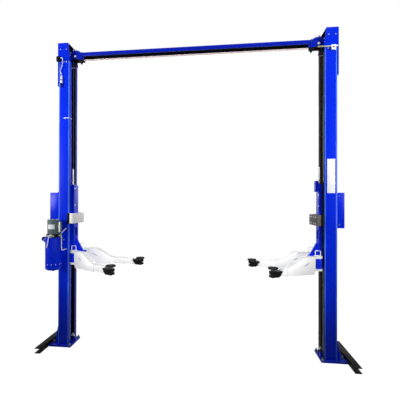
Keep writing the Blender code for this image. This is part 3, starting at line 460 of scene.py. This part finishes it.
def shading_group():
    """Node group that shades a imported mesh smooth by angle."""
    tree = bpy.data.node_groups.new("smooth_by_angle", "GeometryNodeTree")
    for way in ("INPUT", "OUTPUT"):
        tree.interface.new_socket("Geometry", in_out=way, socket_type="NodeSocketGeometry")
    start = tree.nodes.new("NodeGroupInput")
    end = tree.nodes.new("NodeGroupOutput")
    angle = tree.nodes.new("GeometryNodeInputMeshEdgeAngle")
    sharp = tree.nodes.new("FunctionNodeCompare")
    sharp.data_type = "FLOAT"
    sharp.operation = "GREATER_THAN"
    sharp.inputs[1].default_value = PIECE_SMOOTH_ANGLE
    normals = tree.nodes.new("GeometryNodeSetMeshNormal")
    normals.mode = "SHARPNESS"
    normals.inputs["Remove Custom"].default_value = True
    tree.links.new(angle.outputs["Unsigned Angle"], sharp.inputs[0])
    tree.links.new(sharp.outputs[0], normals.inputs["Edge Sharpness"])
    tree.links.new(start.outputs[0], normals.inputs["Mesh"])
    tree.links.new(normals.outputs[0], end.inputs[0])
    return tree


def dress_cad():
    """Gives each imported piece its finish, joined corners, small rounded edges and smooth shading."""
    shading = shading_group()
    special = special_looks()
    for name, piece in frame["nodes"].items():
        for slot in piece.material_slots:
            slot.material = special.get(name, LOOKS[slot.material.name])
        weld = piece.modifiers.new("weld", "WELD")
        weld.merge_threshold = WELD_DISTANCE
        flat = piece.modifiers.new("flat", "DECIMATE")
        flat.decimate_type = "DISSOLVE"
        flat.angle_limit = FLAT_ANGLE
        edge = piece.modifiers.new("edge", "BEVEL")
        edge.width = EDGE_WIDTH
        edge.segments = 2
        edge.limit_method = "ANGLE"
        edge.angle_limit = EDGE_ANGLE
        smooth = piece.modifiers.new("smooth", "NODES")
        smooth.node_group = shading


# Floor and backdrop


def floor_look():
    """Glows white to the camera and in reflections, and takes the soft shadow of the lift."""
    made = Shader("floor_look")
    seen = made.node("LightPath")
    straight = made.maths("MAXIMUM", seen.outputs["Is Camera Ray"], seen.outputs["Is Glossy Ray"])
    glow = made.node("Emission", Color=(1.0, 1.0, 1.0, 1.0), Strength=FLOOR_GLOW)
    matte = made.node("BsdfDiffuse", Color=FLOOR_GREY)
    both = made.node("AddShader")
    choice = made.node("MixShader", Fac=straight)
    made.feed(both, "0", glow)
    made.feed(both, "1", matte)
    made.feed(choice, "1", matte)
    made.feed(choice, "2", both)
    made.feed(made.tree.nodes["Material Output"], "Surface", choice)
    return made.material


def add_floor():
    """White floor under the lift, much wider than the view."""
    mesh = bpy.data.meshes.new("floor")
    corners = [(x * FLOOR_REACH, y * FLOOR_REACH, 0) for x, y in ((-1, -1), (1, -1), (1, 1), (-1, 1))]
    mesh.from_pydata(corners, [], [(0, 1, 2, 3)])
    mesh.materials.append(floor_look())
    floor = bpy.data.objects.new("floor", mesh)
    floor.location = (SPAN / 2, 0, FLOOR_Z)
    bpy.context.scene.collection.objects.link(floor)


def add_world():
    """World that shows white and lights the lift evenly and faintly."""
    world = bpy.data.worlds.new("world")
    bpy.context.scene.world = world
    world.use_nodes = True
    tree = world.node_tree
    back = tree.nodes["Background"]
    back.inputs["Color"].default_value = (1, 1, 1, 1)
    path = tree.nodes.new("ShaderNodeLightPath")
    level = tree.nodes.new("ShaderNodeMapRange")
    level.inputs["To Min"].default_value = 1.0
    level.inputs["To Max"].default_value = WORLD_LIGHT
    tree.links.new(path.outputs["Is Diffuse Ray"], level.inputs["Value"])
    tree.links.new(level.outputs[0], back.inputs["Strength"])


# Tools for small fittings


def upright(point, direction):
    """Frame at a point, with Z along a direction."""
    return Matrix.Translation(point) @ Vector(direction).to_track_quat("Z", "Y").to_matrix().to_4x4()


class Fitting:
    """Small parts collected into one mesh, in the frame of the piece that carries them."""

    def __init__(self, place=HERE):
        self.place = place
        self.bm = bmesh.new()

    def lathed(self, at, profile, steps=18):
        """Closed solid turned round Z of a frame; the profile runs from the axis back to the axis."""
        rings = []
        for radius, height in profile:
            turns = [2 * math.pi * k / steps for k in range(steps if radius else 1)]
            ring = [at @ Vector((radius * math.cos(t), radius * math.sin(t), height)) for t in turns]
            rings.append([self.bm.verts.new(point) for point in ring])
        for one, two in zip(rings, rings[1:]):
            for k in range(steps):
                n = (k + 1) % steps
                corners = [one[k % len(one)], one[n % len(one)], two[n % len(two)], two[k % len(two)]]
                self.bm.faces.new(list(dict.fromkeys(corners)))

    def hex_head(self, point, direction, across, stud=0.0):
        """Washer and chamfered hexagon; a nut also shows the end of its stud."""
        at = upright(point, direction)
        corner = across / math.sqrt(3)
        height = 0.6 * across
        washer_r, washer_t, sunk = 1.3 * corner, 0.0016, 0.0005
        self.lathed(at, [(0, -sunk), (washer_r, -sunk), (washer_r, washer_t), (0, washer_t)], steps=20)
        chamfer = [(corner, height - 0.0015), (0.85 * corner, height), (0, height)]
        self.lathed(at, [(0, 0.001), (corner, 0.001)] + chamfer, steps=6)
        if stud:
            thick = 0.3 * across
            foot, tip = height - 0.001, height + stud
            end = [(thick, tip - 0.001), (thick - 0.001, tip), (0, tip)]
            self.lathed(at, [(0, foot), (thick, foot)] + end, steps=12)

    def collar(self, point, direction, radius, length, steps=20):
        """Ring or short round part with chamfered ends."""
        at = upright(point, direction)
        edge = min(0.0015, length / 4)
        rise = [(radius - edge, 0), (radius, edge)]
        fall = [(radius, length - edge), (radius - edge, length)]
        self.lathed(at, [(0, 0)] + rise + fall + [(0, length)], steps)

    def nut(self, point, direction, radius, length):
        """Hexagon with chamfered ends, without a washer."""
        self.collar(point, direction, radius, length, steps=6)

    def band(self, at, low, thick, inner, outer, slope, steps):
        """Disc whose rim slopes in at both faces, so that a band stands out of what it runs round."""
        high = low + thick
        rim = [(inner, low), (outer, low + slope), (outer, high - slope), (inner, high)]
        self.lathed(at, [(0, low)] + rim + [(0, high)], steps)

    def slab(self, low, high, edge=0.0015):
        """Block with rounded edges."""
        made = bmesh.ops.create_cube(self.bm, size=1.0)["verts"]
        for corner in made:
            corner.co = Vector([a + (c + 0.5) * (b - a) for a, b, c in zip(low, high, corner.co)])
        sides = list(dict.fromkeys(side for corner in made for side in corner.link_edges))
        bmesh.ops.bevel(self.bm, geom=sides, offset=edge, segments=2, affect="EDGES", profile=0.5)

    def drawn(self, outline, low, high, place=HERE):
        """Solid from an outline of X and Z, drawn out along Y."""
        ends = [[self.bm.verts.new(place @ Vector((a, y, b))) for a, b in outline] for y in (low, high)]
        self.bm.faces.new(ends[0])
        self.bm.faces.new(list(reversed(ends[1])))
        for i in range(len(outline)):
            k = (i + 1) % len(outline)
            self.bm.faces.new((ends[0][i], ends[0][k], ends[1][k], ends[1][i]))

    def tube(self, path, radius, steps=12, ripple=0.0):
        """Round closed tube along points; a ripple gives the scales of a weld bead."""
        rings = []
        side = None
        for i, point in enumerate(path):
            along = (Vector(path[min(i + 1, len(path) - 1)]) - Vector(path[max(i - 1, 0)])).normalized()
            side = side or along.orthogonal().normalized()
            side = (side - along * side.dot(along)).normalized()
            other = along.cross(side)
            size = radius * (1 + ripple * (i % 2))
            turns = [2 * math.pi * k / steps for k in range(steps)]
            ring = [Vector(point) + size * (math.cos(t) * side + math.sin(t) * other) for t in turns]
            rings.append([self.bm.verts.new(point) for point in ring])
        for one, two in zip(rings, rings[1:]):
            for k in range(steps):
                n = (k + 1) % steps
                self.bm.faces.new((one[k], one[n], two[n], two[k]))
        self.bm.faces.new(rings[0])
        self.bm.faces.new(rings[-1])

    def bead(self, start, end, radius=0.0035):
        """Weld bead between two points, with a scale every 4 mm."""
        start, end = Vector(start), Vector(end)
        count = max(4, int((end - start).length / 0.004))
        self.tube([start.lerp(end, i / count) for i in range(count + 1)], radius, steps=6, ripple=0.22)

    def curved_plate(self, centre, radius, thick, turns, heights, steps=10):
        """Plate bent round a vertical axis; turns are measured from the front towards +X."""
        angles = [math.radians(turns[0] + (turns[1] - turns[0]) * i / steps) for i in range(steps + 1)]
        rows = []
        for size in (radius, radius + thick):
            plan = [(centre[0] + size * math.sin(t), centre[1] - size * math.cos(t)) for t in angles]
            rows += [[self.bm.verts.new((x, y, z)) for x, y in plan] for z in heights]
        inner_low, inner_high, outer_low, outer_high = rows
        inside, outside = (inner_low, inner_high), (outer_low, outer_high)
        bottom, top = (inner_low, outer_low), (inner_high, outer_high)
        for i in range(steps):
            for one, two in (inside, outside, bottom, top):
                self.bm.faces.new((one[i], one[i + 1], two[i + 1], two[i]))
        for i in (0, steps):
            self.bm.faces.new((inner_low[i], outer_low[i], outer_high[i], inner_high[i]))

    def done(self, name, look, body):
        """Makes the piece with its finish, and lets it ride on its body where one is given."""
        bmesh.ops.recalc_face_normals(self.bm, faces=self.bm.faces)
        mesh = bpy.data.meshes.new(name)
        self.bm.to_mesh(mesh)
        self.bm.free()
        for face in mesh.polygons:
            face.use_smooth = True
        mesh.set_sharp_from_angle(angle=FITTING_SMOOTH_ANGLE)
        made = bpy.data.objects.new(name, mesh)
        bpy.context.scene.collection.objects.link(made)
        made.matrix_world = self.place
        mesh.materials.append(look)
        if body:
            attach(made, body)
        return made


# Cables and heads


def lift_ropes():
    """Run of each equalizer cable as a round wire rope, made from the box of its imported piece, which is
    hidden.
    """
    for side in SIDES:
        low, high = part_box(f"lift_cable_{side}")
        middle = (low + high) / 2
        bottom = Vector((middle.x, middle.y, low.z))
        top = Vector((middle.x, middle.y, high.z))
        rope = Fitting()
        rope.tube([bottom, top], (high.x - low.x) / 2)
        made = rope.done(f"rope_{side}", WIRE, None)
        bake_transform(made)
        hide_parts(f"lift_cable_{side}")


def head_bolts(side):
    """Bolts of the head, its splice, the beam's bracket and the lap of its web, and nuts of the axle."""
    bolts = Fitting(SIDES[side])
    for sign in (-1, 1):
        outward = (0, sign, 0)
        for x, z in HEAD_BOLTS:
            bolts.hex_head((x, sign * COL_HALF_Y, z), outward, across=0.008)
        for x, z in SPLICE_BOLTS:
            bolts.hex_head((x, sign * COL_HALF_Y, z), outward, across=0.009)
        for x, z in BRACKET_BOLTS:
            bolts.hex_head((x, sign * BRACKET_FACE, z), outward, across=0.011)
        bolts.hex_head((AXLE_X, sign * BRACKET_FACE, AXLE_Z), outward, across=0.018, stud=0.004)
        for z in LAP_BOLTS_Z:
            bolts.hex_head((HEAD_WEB_X, sign * LAP_BOLT_Y, z), (-1, 0, 0), across=0.017)
    bolts.done(f"head_bolts_{side}", LOOKS["zinc"], "frame")


def sheave_guard(side):
    """Bent plate over the sheaves, with an apron down each side of the bracket; its pale colour is a
    painted highlight.
    """
    thick, gap, apron_drop = 0.003, 0.0005, 0.013
    proud, lap = 0.0017, 0.0002
    under = [(0.088, 3.594), (0.104, 3.6010), (0.134, 3.5985), (0.164, 3.5850), (0.190, 3.5705)]
    crown = [(x, z + thick) for x, z in under]
    guard = Fitting(SIDES[side])
    guard.drawn(crown + [(x, z + gap) for x, z in reversed(under)], -BRACKET_FACE, BRACKET_FACE)
    apron = crown + [(x, z - apron_drop) for x, z in reversed(under)]
    for sign in (-1, 1):
        guard.drawn(apron, *sorted((sign * (BRACKET_FACE + proud), sign * (BRACKET_FACE - lap))))
    guard.done(f"sheave_guard_{side}", GUARD_HIGHLIGHT, "frame")


def head_welds(side):
    """Beads along both edges of the lid of the head."""
    beads = Fitting(SIDES[side])
    for sign in (-1, 1):
        start, end = [(x, sign * (COL_HALF_Y - 0.001), TOP_Z - 0.001) for x in (-0.0710, 0.045)]
        beads.bead(start, end, radius=0.0025)
    beads.done(f"head_welds_{side}", LOOKS["blue_paint"], "frame")


# Posts


def anchor_bolts(side):
    """Nuts and studs of the four anchors of a base plate."""
    anchors = Fitting(SIDES[side])
    for x, y in ANCHORS:
        for sign in (-1, 1):
            anchors.hex_head((x, sign * y, BASE_T), (0, 0, 1), across=0.024, stud=0.014)
    anchors.done(f"anchor_bolts_{side}", DULL, "frame")


def post_bolts(side):
    """Bolts at the foot of the column's lips and screws of the lock cover."""
    bolts = Fitting(SIDES[side])
    for sign in (-1, 1):
        for z in LIP_BOLTS_Z:
            bolts.hex_head((COL_HALF_X, sign * LIP_BOLT_Y, z), (1, 0, 0), across=0.010)
    for z in LOCK_SCREWS_Z:
        for y in LOCK_SCREWS_Y:
            bolts.hex_head((LOCK_OUT_X, y, z), (-1, 0, 0), across=0.011)
        for y, way in LOCK_SIDES:
            bolts.hex_head((LOCK_SIDE_X, y, z), (0, way, 0), across=0.009)
    bolts.done(f"post_bolts_{side}", DULL, "frame")


def foot_welds(side):
    """Beads where the column and the gussets of the base stand on its plate."""
    z = BASE_T + 0.0015
    web_x = -COL_HALF_X - 0.001
    beads = Fitting(SIDES[side])
    for sign in (-1, 1):
        flange_y, gusset_y = sign * (COL_HALF_Y + 0.001), sign * 0.0845
        beads.bead((-0.052, flange_y, z), (0.052, flange_y, z))
        beads.bead((-0.108, gusset_y, z), (-0.075, gusset_y, z), radius=0.0025)
    beads.bead((web_x, -0.080, z), (web_x, 0.080, z))
    beads.done(f"foot_welds_{side}", LOOKS["blue_paint"], "frame")


def cylinder_inlet(side):
    """Pipe and elbow at the foot of the cylinder, each with its nut."""
    pipe_z, elbow_x = 0.092, 0.072
    inlet = Fitting(SIDES[side])
    inlet.tube([(-0.004, 0, pipe_z), (0.084, 0, pipe_z)], radius=0.007)
    inlet.nut((0.076, 0, pipe_z), (1, 0, 0), radius=0.013, length=0.016)
    inlet.tube([(elbow_x, 0, 0.088), (elbow_x, 0, 0.116)], radius=0.006)
    inlet.nut((elbow_x, 0, 0.104), (0, 0, 1), radius=0.011, length=0.012)
    inlet.done(f"cylinder_inlet_{side}", LABEL, "frame")


def blank_plate():
    """Plate on the front of the right column, left blank."""
    back, front = COL_HALF_Y - 0.0005, COL_HALF_Y + 0.001
    plate = Fitting(SIDES["right"])
    plate.slab((-0.045, back, 1.843), (0.0385, front, 2.216), edge=0.0006)
    plate.done("blank_plate", LABEL, "frame")


def cable_tie():
    """White tie round the front corner of the left column, with its buckle."""
    middle = 2.751
    low, high = middle - 0.005, middle + 0.005
    front, side = -COL_HALF_Y, COL_HALF_X
    tie = Fitting()
    tie.slab((-0.006, front - 0.0016, low), (0.056, front + 0.001, high), edge=0.0006)
    tie.slab((0.010, front - 0.006, low - 0.004), (0.020, front + 0.001, high + 0.004), edge=0.0015)
    tie.slab((side - 0.001, -0.096, low), (side + 0.0016, -0.058, high), edge=0.0006)
    corner = [(0.054, front - 0.0004), (0.0665, -0.1072), (side + 0.0004, -0.094)]
    tie.tube([(x, y, middle) for x, y in corner], radius=0.004, steps=8)
    tie.done("cable_tie", LABEL, "frame")


# Limit switch and plug


def switch_fittings():
    """Cover and gland of the limit switch, its knob, and the cover of its arm."""
    gland_y, gland_z = 0.1250, 3.447
    cover = Fitting(SIDES["right"])
    cover.slab((-0.044, 0.1375, 3.402), (0.002, 0.1415, 3.455))
    cover.collar((-0.043, gland_y, gland_z), (-1, 0, 0), radius=0.010, length=0.022)
    cover.collar((-0.062, gland_y, gland_z), (-1, 0, 0), radius=0.007, length=0.010)
    cover.done("switch_cover", LABEL, "frame")

    knob = Fitting(SIDES["right"])
    knob.collar((-0.020, 0.1405, 3.428), (0, 1, 0), radius=0.0075, length=0.005)
    knob.done("switch_knob", LOOKS["black_paint"], "frame")

    arm = Fitting(SIDES["right"])
    arm.slab((0.030, 0.1123, 3.4425), (0.1415, 0.1215, 3.4570), edge=0.002)
    arm.done("switch_arm_cover", BRASS, "frame")


def plug_boot():
    """Boot under the plug of the switch lead, narrowing downwards, and the clip round the plug."""
    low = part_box("switch_lead")[0].z + 0.001
    socket = [(0.0105, 0), (0.0105, 0.012)]
    sleeve = [(0.0085, 0.020), (0.0075, 0.042), (0.005, 0.045)]
    boot = Fitting()
    boot.lathed(upright((PLUG_X, PLUG_Y, low), (0, 0, -1)), [(0, 0)] + socket + sleeve + [(0, 0.045)])
    clip_low = (PLUG_X - 0.0086, PLUG_Y - 0.0086, 3.204)
    clip_high = (PLUG_X + 0.0086, PLUG_Y + 0.010, 3.212)
    boot.slab(clip_low, clip_high, edge=0.001)
    boot.done("plug_boot", LOOKS["black_paint"], "frame")


# Power unit

UNIT_AXIS = Matrix.Translation((UNIT_X, UNIT_Y, 0))
MOTOR_LOW, MOTOR_HIGH = (corner.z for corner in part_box("motor"))
TANK_SIDE_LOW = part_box("oil_tank")[0].z + 0.016
BLOCK_Z = 1.3433
BLOCK_SIDE_X = UNIT_X + 0.060
BLOCK_FRONT_Y = UNIT_Y - 0.060


def motor_rings():
    """Rings at both ends of the motor and the cap on its lid."""
    inner, outer = MOTOR_R - 0.004, MOTOR_R + 0.002
    rings = Fitting()
    for z in (MOTOR_LOW + 0.010, MOTOR_HIGH - 0.022):
        rings.band(UNIT_AXIS, z, 0.007, inner, outer, slope=0.001, steps=32)
    foot, crown = MOTOR_HIGH - 0.002, MOTOR_HIGH + 0.006
    rings.lathed(UNIT_AXIS, [(0, foot), (0.040, foot), (0.038, crown - 0.002), (0, crown)], steps=28)
    rings.done("motor_rings", LOOKS["grey_paint"], "frame")


def around_unit(count, radius, z):
    """Points on a ring round the power unit's axis, half a step from +X, with the way out from it."""
    for k in range(count):
        turn = math.radians((k + 0.5) * 360 / count)
        out = Vector((math.cos(turn), math.sin(turn), 0))
        yield Vector((UNIT_X, UNIT_Y, z)) + out * radius, out


def unit_screws():
    """Screws of the motor's lid and the tank's side, bolts of the mount, and plugs of the valve block."""
    screws = Fitting()
    for point, _ in around_unit(8, 0.056, MOTOR_HIGH - 0.0015):
        screws.hex_head(point, (0, 0, 1), across=0.009)
    for point, out in around_unit(12, TANK_R, TANK_SIDE_LOW + 0.072):
        screws.hex_head(point, out, across=0.006)
    for z in UNIT_BOLTS_Z:
        for x in UNIT_BOLTS_X:
            screws.hex_head((x, -0.1223, z), (0, -1, 0), across=0.012)
    for x in (-0.098, -0.112):
        screws.collar((x, BLOCK_FRONT_Y + 0.001, 1.343), (0, -1, 0), radius=0.0065, length=0.007)
    screws.done("unit_screws", LOOKS["zinc"], "frame")


def tank_seams():
    """Rolled seams near the foot and the top of the oil tank."""
    inner, outer = TANK_R - 0.003, TANK_R + 0.0018
    seams = Fitting()
    for middle in (TANK_SIDE_LOW + 0.030, 1.318):
        seams.band(UNIT_AXIS, middle - 0.004, 0.008, inner, outer, slope=0.002, steps=40)
    seams.done("tank_seams", LOOKS["blue_paint"], "frame")


def motor_covers():
    """Blank foil on the front of the motor and the front cover of its terminal box."""
    box_x = UNIT_X + MOTOR_R
    covers = Fitting()
    covers.curved_plate((UNIT_X, UNIT_Y), MOTOR_R - 0.0005, 0.0015, (-30, 40), (1.423, 1.476))
    low = (box_x + 0.013, UNIT_Y - 0.029, MOTOR_LOW + 0.024)
    high = (box_x + 0.029, UNIT_Y - 0.024, MOTOR_LOW + 0.144)
    covers.slab(low, high)
    covers.done("motor_covers", LABEL, "frame")


def valve_fittings():
    """Nuts and elbow of the valve block, and the white rod on it."""
    side_x, elbow_y = BLOCK_SIDE_X - 0.001, UNIT_Y + 0.036
    elbow_x = BLOCK_SIDE_X + 0.018
    nuts = Fitting()
    nuts.nut((side_x, UNIT_Y, BLOCK_Z), (1, 0, 0), radius=0.013, length=0.016)
    nuts.nut((UNIT_X + 0.101, UNIT_Y, 1.322), (0, 0, -1), radius=0.011, length=0.018)
    nuts.nut((side_x, elbow_y, BLOCK_Z), (1, 0, 0), radius=0.010, length=0.022)
    nuts.tube([(elbow_x, elbow_y, BLOCK_Z), (elbow_x, elbow_y, 1.372)], radius=0.007)
    nuts.nut((UNIT_X + 0.035, BLOCK_FRONT_Y + 0.001, BLOCK_Z), (0, -1, 0), radius=0.012, length=0.014)
    nuts.done("valve_fittings", BRASS, "frame")

    rod = Fitting()
    path = [(BLOCK_SIDE_X - 0.004, -0.185, 1.352), (0.014, -0.165, 1.379), (0.057, -0.160, 1.426)]
    rod.tube(path, radius=0.0055)
    rod.done("valve_rod", LABEL, "frame")


def neck_ring():
    """Ring on the tank's filler neck, under its cap."""
    low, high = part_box("filler_cap")
    neck = Vector((-0.050, 0, 0.040)).normalized()
    ring = Fitting()
    ring.collar((low + high) / 2 - neck * 0.022, neck, radius=0.027, length=0.006)
    ring.done("neck_ring", LOOKS["zinc"], "frame")


# Carriages


def window_rim(side):
    """Raised rim round the window in the face of a carriage."""
    back, front, half_width = FACE_X - 0.001, FACE_X + 0.003, 0.042
    rim = Fitting(SIDES[side])
    for z in (1.303, 1.424):
        rim.slab((back, -half_width, z), (front, half_width, z + 0.020))
    for y in (-half_width, half_width - 0.012):
        rim.slab((back, y, 1.319), (front, y + 0.012, 1.428))
    rim.done(f"window_rim_{side}", LOOKS["blue_paint"], f"carriage_body_{side}")


def guard_plates(side):
    """Black plates at both ends of the door guard."""
    low, high = 1.478, 1.604
    plates = Fitting(SIDES[side])
    plates.slab((0.0780, -0.1885, low), (0.1070, -0.1848, high), edge=0.001)
    plates.slab((0.0790, 0.1298, low), (0.1070, 0.1330, high), edge=0.001)
    plates.done(f"guard_plates_{side}", LOOKS["black_paint"], f"carriage_body_{side}")


def carriage_bolts(side):
    """Bolts of the door guard and the face, and the two nuts on the cable's stud."""
    bolts = Fitting(SIDES[side])
    for y in GUARD_BOLTS_Y:
        for z in GUARD_BOLTS_Z:
            bolts.hex_head((0.1525, y, z), (1, 0, 0), across=0.010)
    for z in FACE_BOLTS_Z[side]:
        for sign in (-1, 1):
            bolts.hex_head((FACE_X, sign * FACE_BOLT_Y, z), (1, 0, 0), across=0.012)
    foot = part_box(f"cable_stud_{side}")[0].z
    at = Matrix.Translation((CABLE_X, -CABLE_Y, 0))
    for z in (foot + 0.0003, foot + 0.046):
        sides = [(0.0135, z), (0.0168, z + 0.0012), (0.0168, z + 0.0142), (0.0135, z + 0.0155)]
        bolts.lathed(at, [(0, z)] + sides + [(0, z + 0.0155)], steps=6)
    bolts.done(f"carriage_bolts_{side}", LOOKS["zinc"], f"carriage_body_{side}")


def carriage_welds(side):
    """Beads under and over the arm lug, and up both sides of its rib."""
    x = FACE_X + 0.001
    beads = Fitting(SIDES[side])
    for sign in (-1, 1):
        for z in (1.0195, 1.1315):
            beads.bead((x, sign * 0.012, z), (x, sign * 0.056, z), radius=0.003)
        rib_y = sign * 0.0115
        beads.bead((x, rib_y, 1.134), (x, rib_y, 1.290), radius=0.0025)
    beads.done(f"carriage_welds_{side}", LOOKS["blue_paint"], f"carriage_body_{side}")


# Arms

ARM_SIDE_Y = 0.0375


def arm_frames(arm):
    """Frames on an arm's pin and at its pad, with +X along the arm, and the height of the pad's top."""
    side, which = arm.split("_")
    sign = -1 if (which == "front") == (side == "left") else 1
    pin = SIDES[side] @ Vector((PIN_X, sign * PIN_Y, 0))
    pad = MOUNTS[f"pad_top_{arm}"]
    along = math.atan2(pad.y - pin.y, pad.x - pin.x)
    turn = Matrix.Rotation(along, 4, "Z")
    return Matrix.Translation(pin) @ turn, Matrix.Translation((pad.x, pad.y, 0)) @ turn, pad.z


def arm_marks(arm, at_pin):
    """Slanting black mark on both sides of the outer arm."""
    slant = [(0.140, 1.0925), (0.150, 1.0925), (0.205, 1.0640), (0.195, 1.0640)]
    marks = Fitting(at_pin)
    for y in (-0.0386, 0.0374):
        marks.drawn(slant, y, y + 0.0012)
    marks.done(f"arm_marks_{arm}", LOOKS["black_paint"], f"arm_body_{arm}")


def arm_welds(arm, at_pin):
    """Beads along the edges of the outer arm and the strap under its open end."""
    low = 0.9655
    beads = Fitting(at_pin)
    for sign in (-1, 1):
        y = sign * ARM_SIDE_Y
        beads.bead((0.200, y, 1.1530), (0.372, y, 1.0535), radius=0.002)
        beads.bead((0.085, y, low), (0.400, y, low), radius=0.002)
    strap = [(0.396, 0.9643), (0.4105, 0.9643), (0.4105, 0.9680), (0.396, 0.9680)]
    beads.drawn(strap, -0.0388, 0.0388)
    beads.done(f"arm_welds_{arm}", LOOKS["white_paint"], f"arm_body_{arm}")


def arm_stop(arm, at_pin):
    """Stop bolt of the extension, on top of the outer arm."""
    stop = Fitting(at_pin)
    stop.hex_head((0.385, 0, 1.0530), (0, 0, 1), across=0.013)
    stop.done(f"arm_stop_{arm}", LOOKS["zinc"], f"arm_body_{arm}")


def pad_screw(arm, at_pad, top):
    """Thread under the pad, and the steel plate on the thread."""
    root, crest, plate_r = 0.0202, 0.0217, 0.0447
    start, pitch = 1.0265, 0.004
    seat = top - 0.020
    low, high = seat - 0.0005, seat + 0.0058
    profile = [(0, start), (root, start)]
    for k in range(int((seat - start) / pitch)):
        z = start + pitch * k
        profile += [(crest, z + 0.0012), (crest, z + 0.0022), (root, z + 0.0036)]
    profile += [(root, low), (plate_r, low), (plate_r, high), (0, high)]
    screw = Fitting(at_pad)
    screw.lathed(HERE, profile, steps=28)
    screw.done(f"pad_screw_{arm}", SCREW, f"pad_body_{arm}")


def pad_ribs(arm, at_pad, top):
    """Ten rubber ribs round a low boss on top of the pad."""
    count, half_width = 10, 0.0035
    low, high = top - 0.001, top + 0.0016
    outline = [(0.020, low), (0.049, low), (0.048, high), (0.021, high)]
    ribs = Fitting(at_pad)
    for k in range(count):
        ribs.drawn(outline, -half_width, half_width, Matrix.Rotation(2 * math.pi * k / count, 4, "Z"))
    boss = [(0, low), (0.014, low), (0.014, top + 0.0012), (0.012, high), (0, high)]
    ribs.lathed(HERE, boss, steps=20)
    ribs.done(f"pad_ribs_{arm}", LOOKS["rubber"], f"pad_body_{arm}")


def arm_fittings(arm):
    """Small parts of one arm and its pad."""
    at_pin, at_pad, top = arm_frames(arm)
    arm_marks(arm, at_pin)
    arm_welds(arm, at_pin)
    arm_stop(arm, at_pin)
    pad_screw(arm, at_pad, top)
    pad_ribs(arm, at_pad, top)


HEAD_PIECES = (head_bolts, sheave_guard, head_welds)
POST_PIECES = (anchor_bolts, post_bolts, foot_welds, cylinder_inlet)
CARRIAGE_PIECES = (window_rim, guard_plates, carriage_bolts, carriage_welds)
SINGLE_PIECES = (
    blank_plate, cable_tie, switch_fittings, plug_boot, motor_rings, unit_screws, tank_seams, motor_covers,
    valve_fittings, neck_ring,
)

bpy.context.scene.view_settings.view_transform = "Standard"
add_camera()
for lamp in LAMPS:
    add_lamp(*lamp)
add_floor()
add_world()
dress_cad()
lift_ropes()
for post in SIDES:
    for add_piece in HEAD_PIECES + POST_PIECES + CARRIAGE_PIECES:
        add_piece(post)
    for end in ("front", "rear"):
        arm_fittings(f"{post}_{end}")
for add_piece in SINGLE_PIECES:
    add_piece()
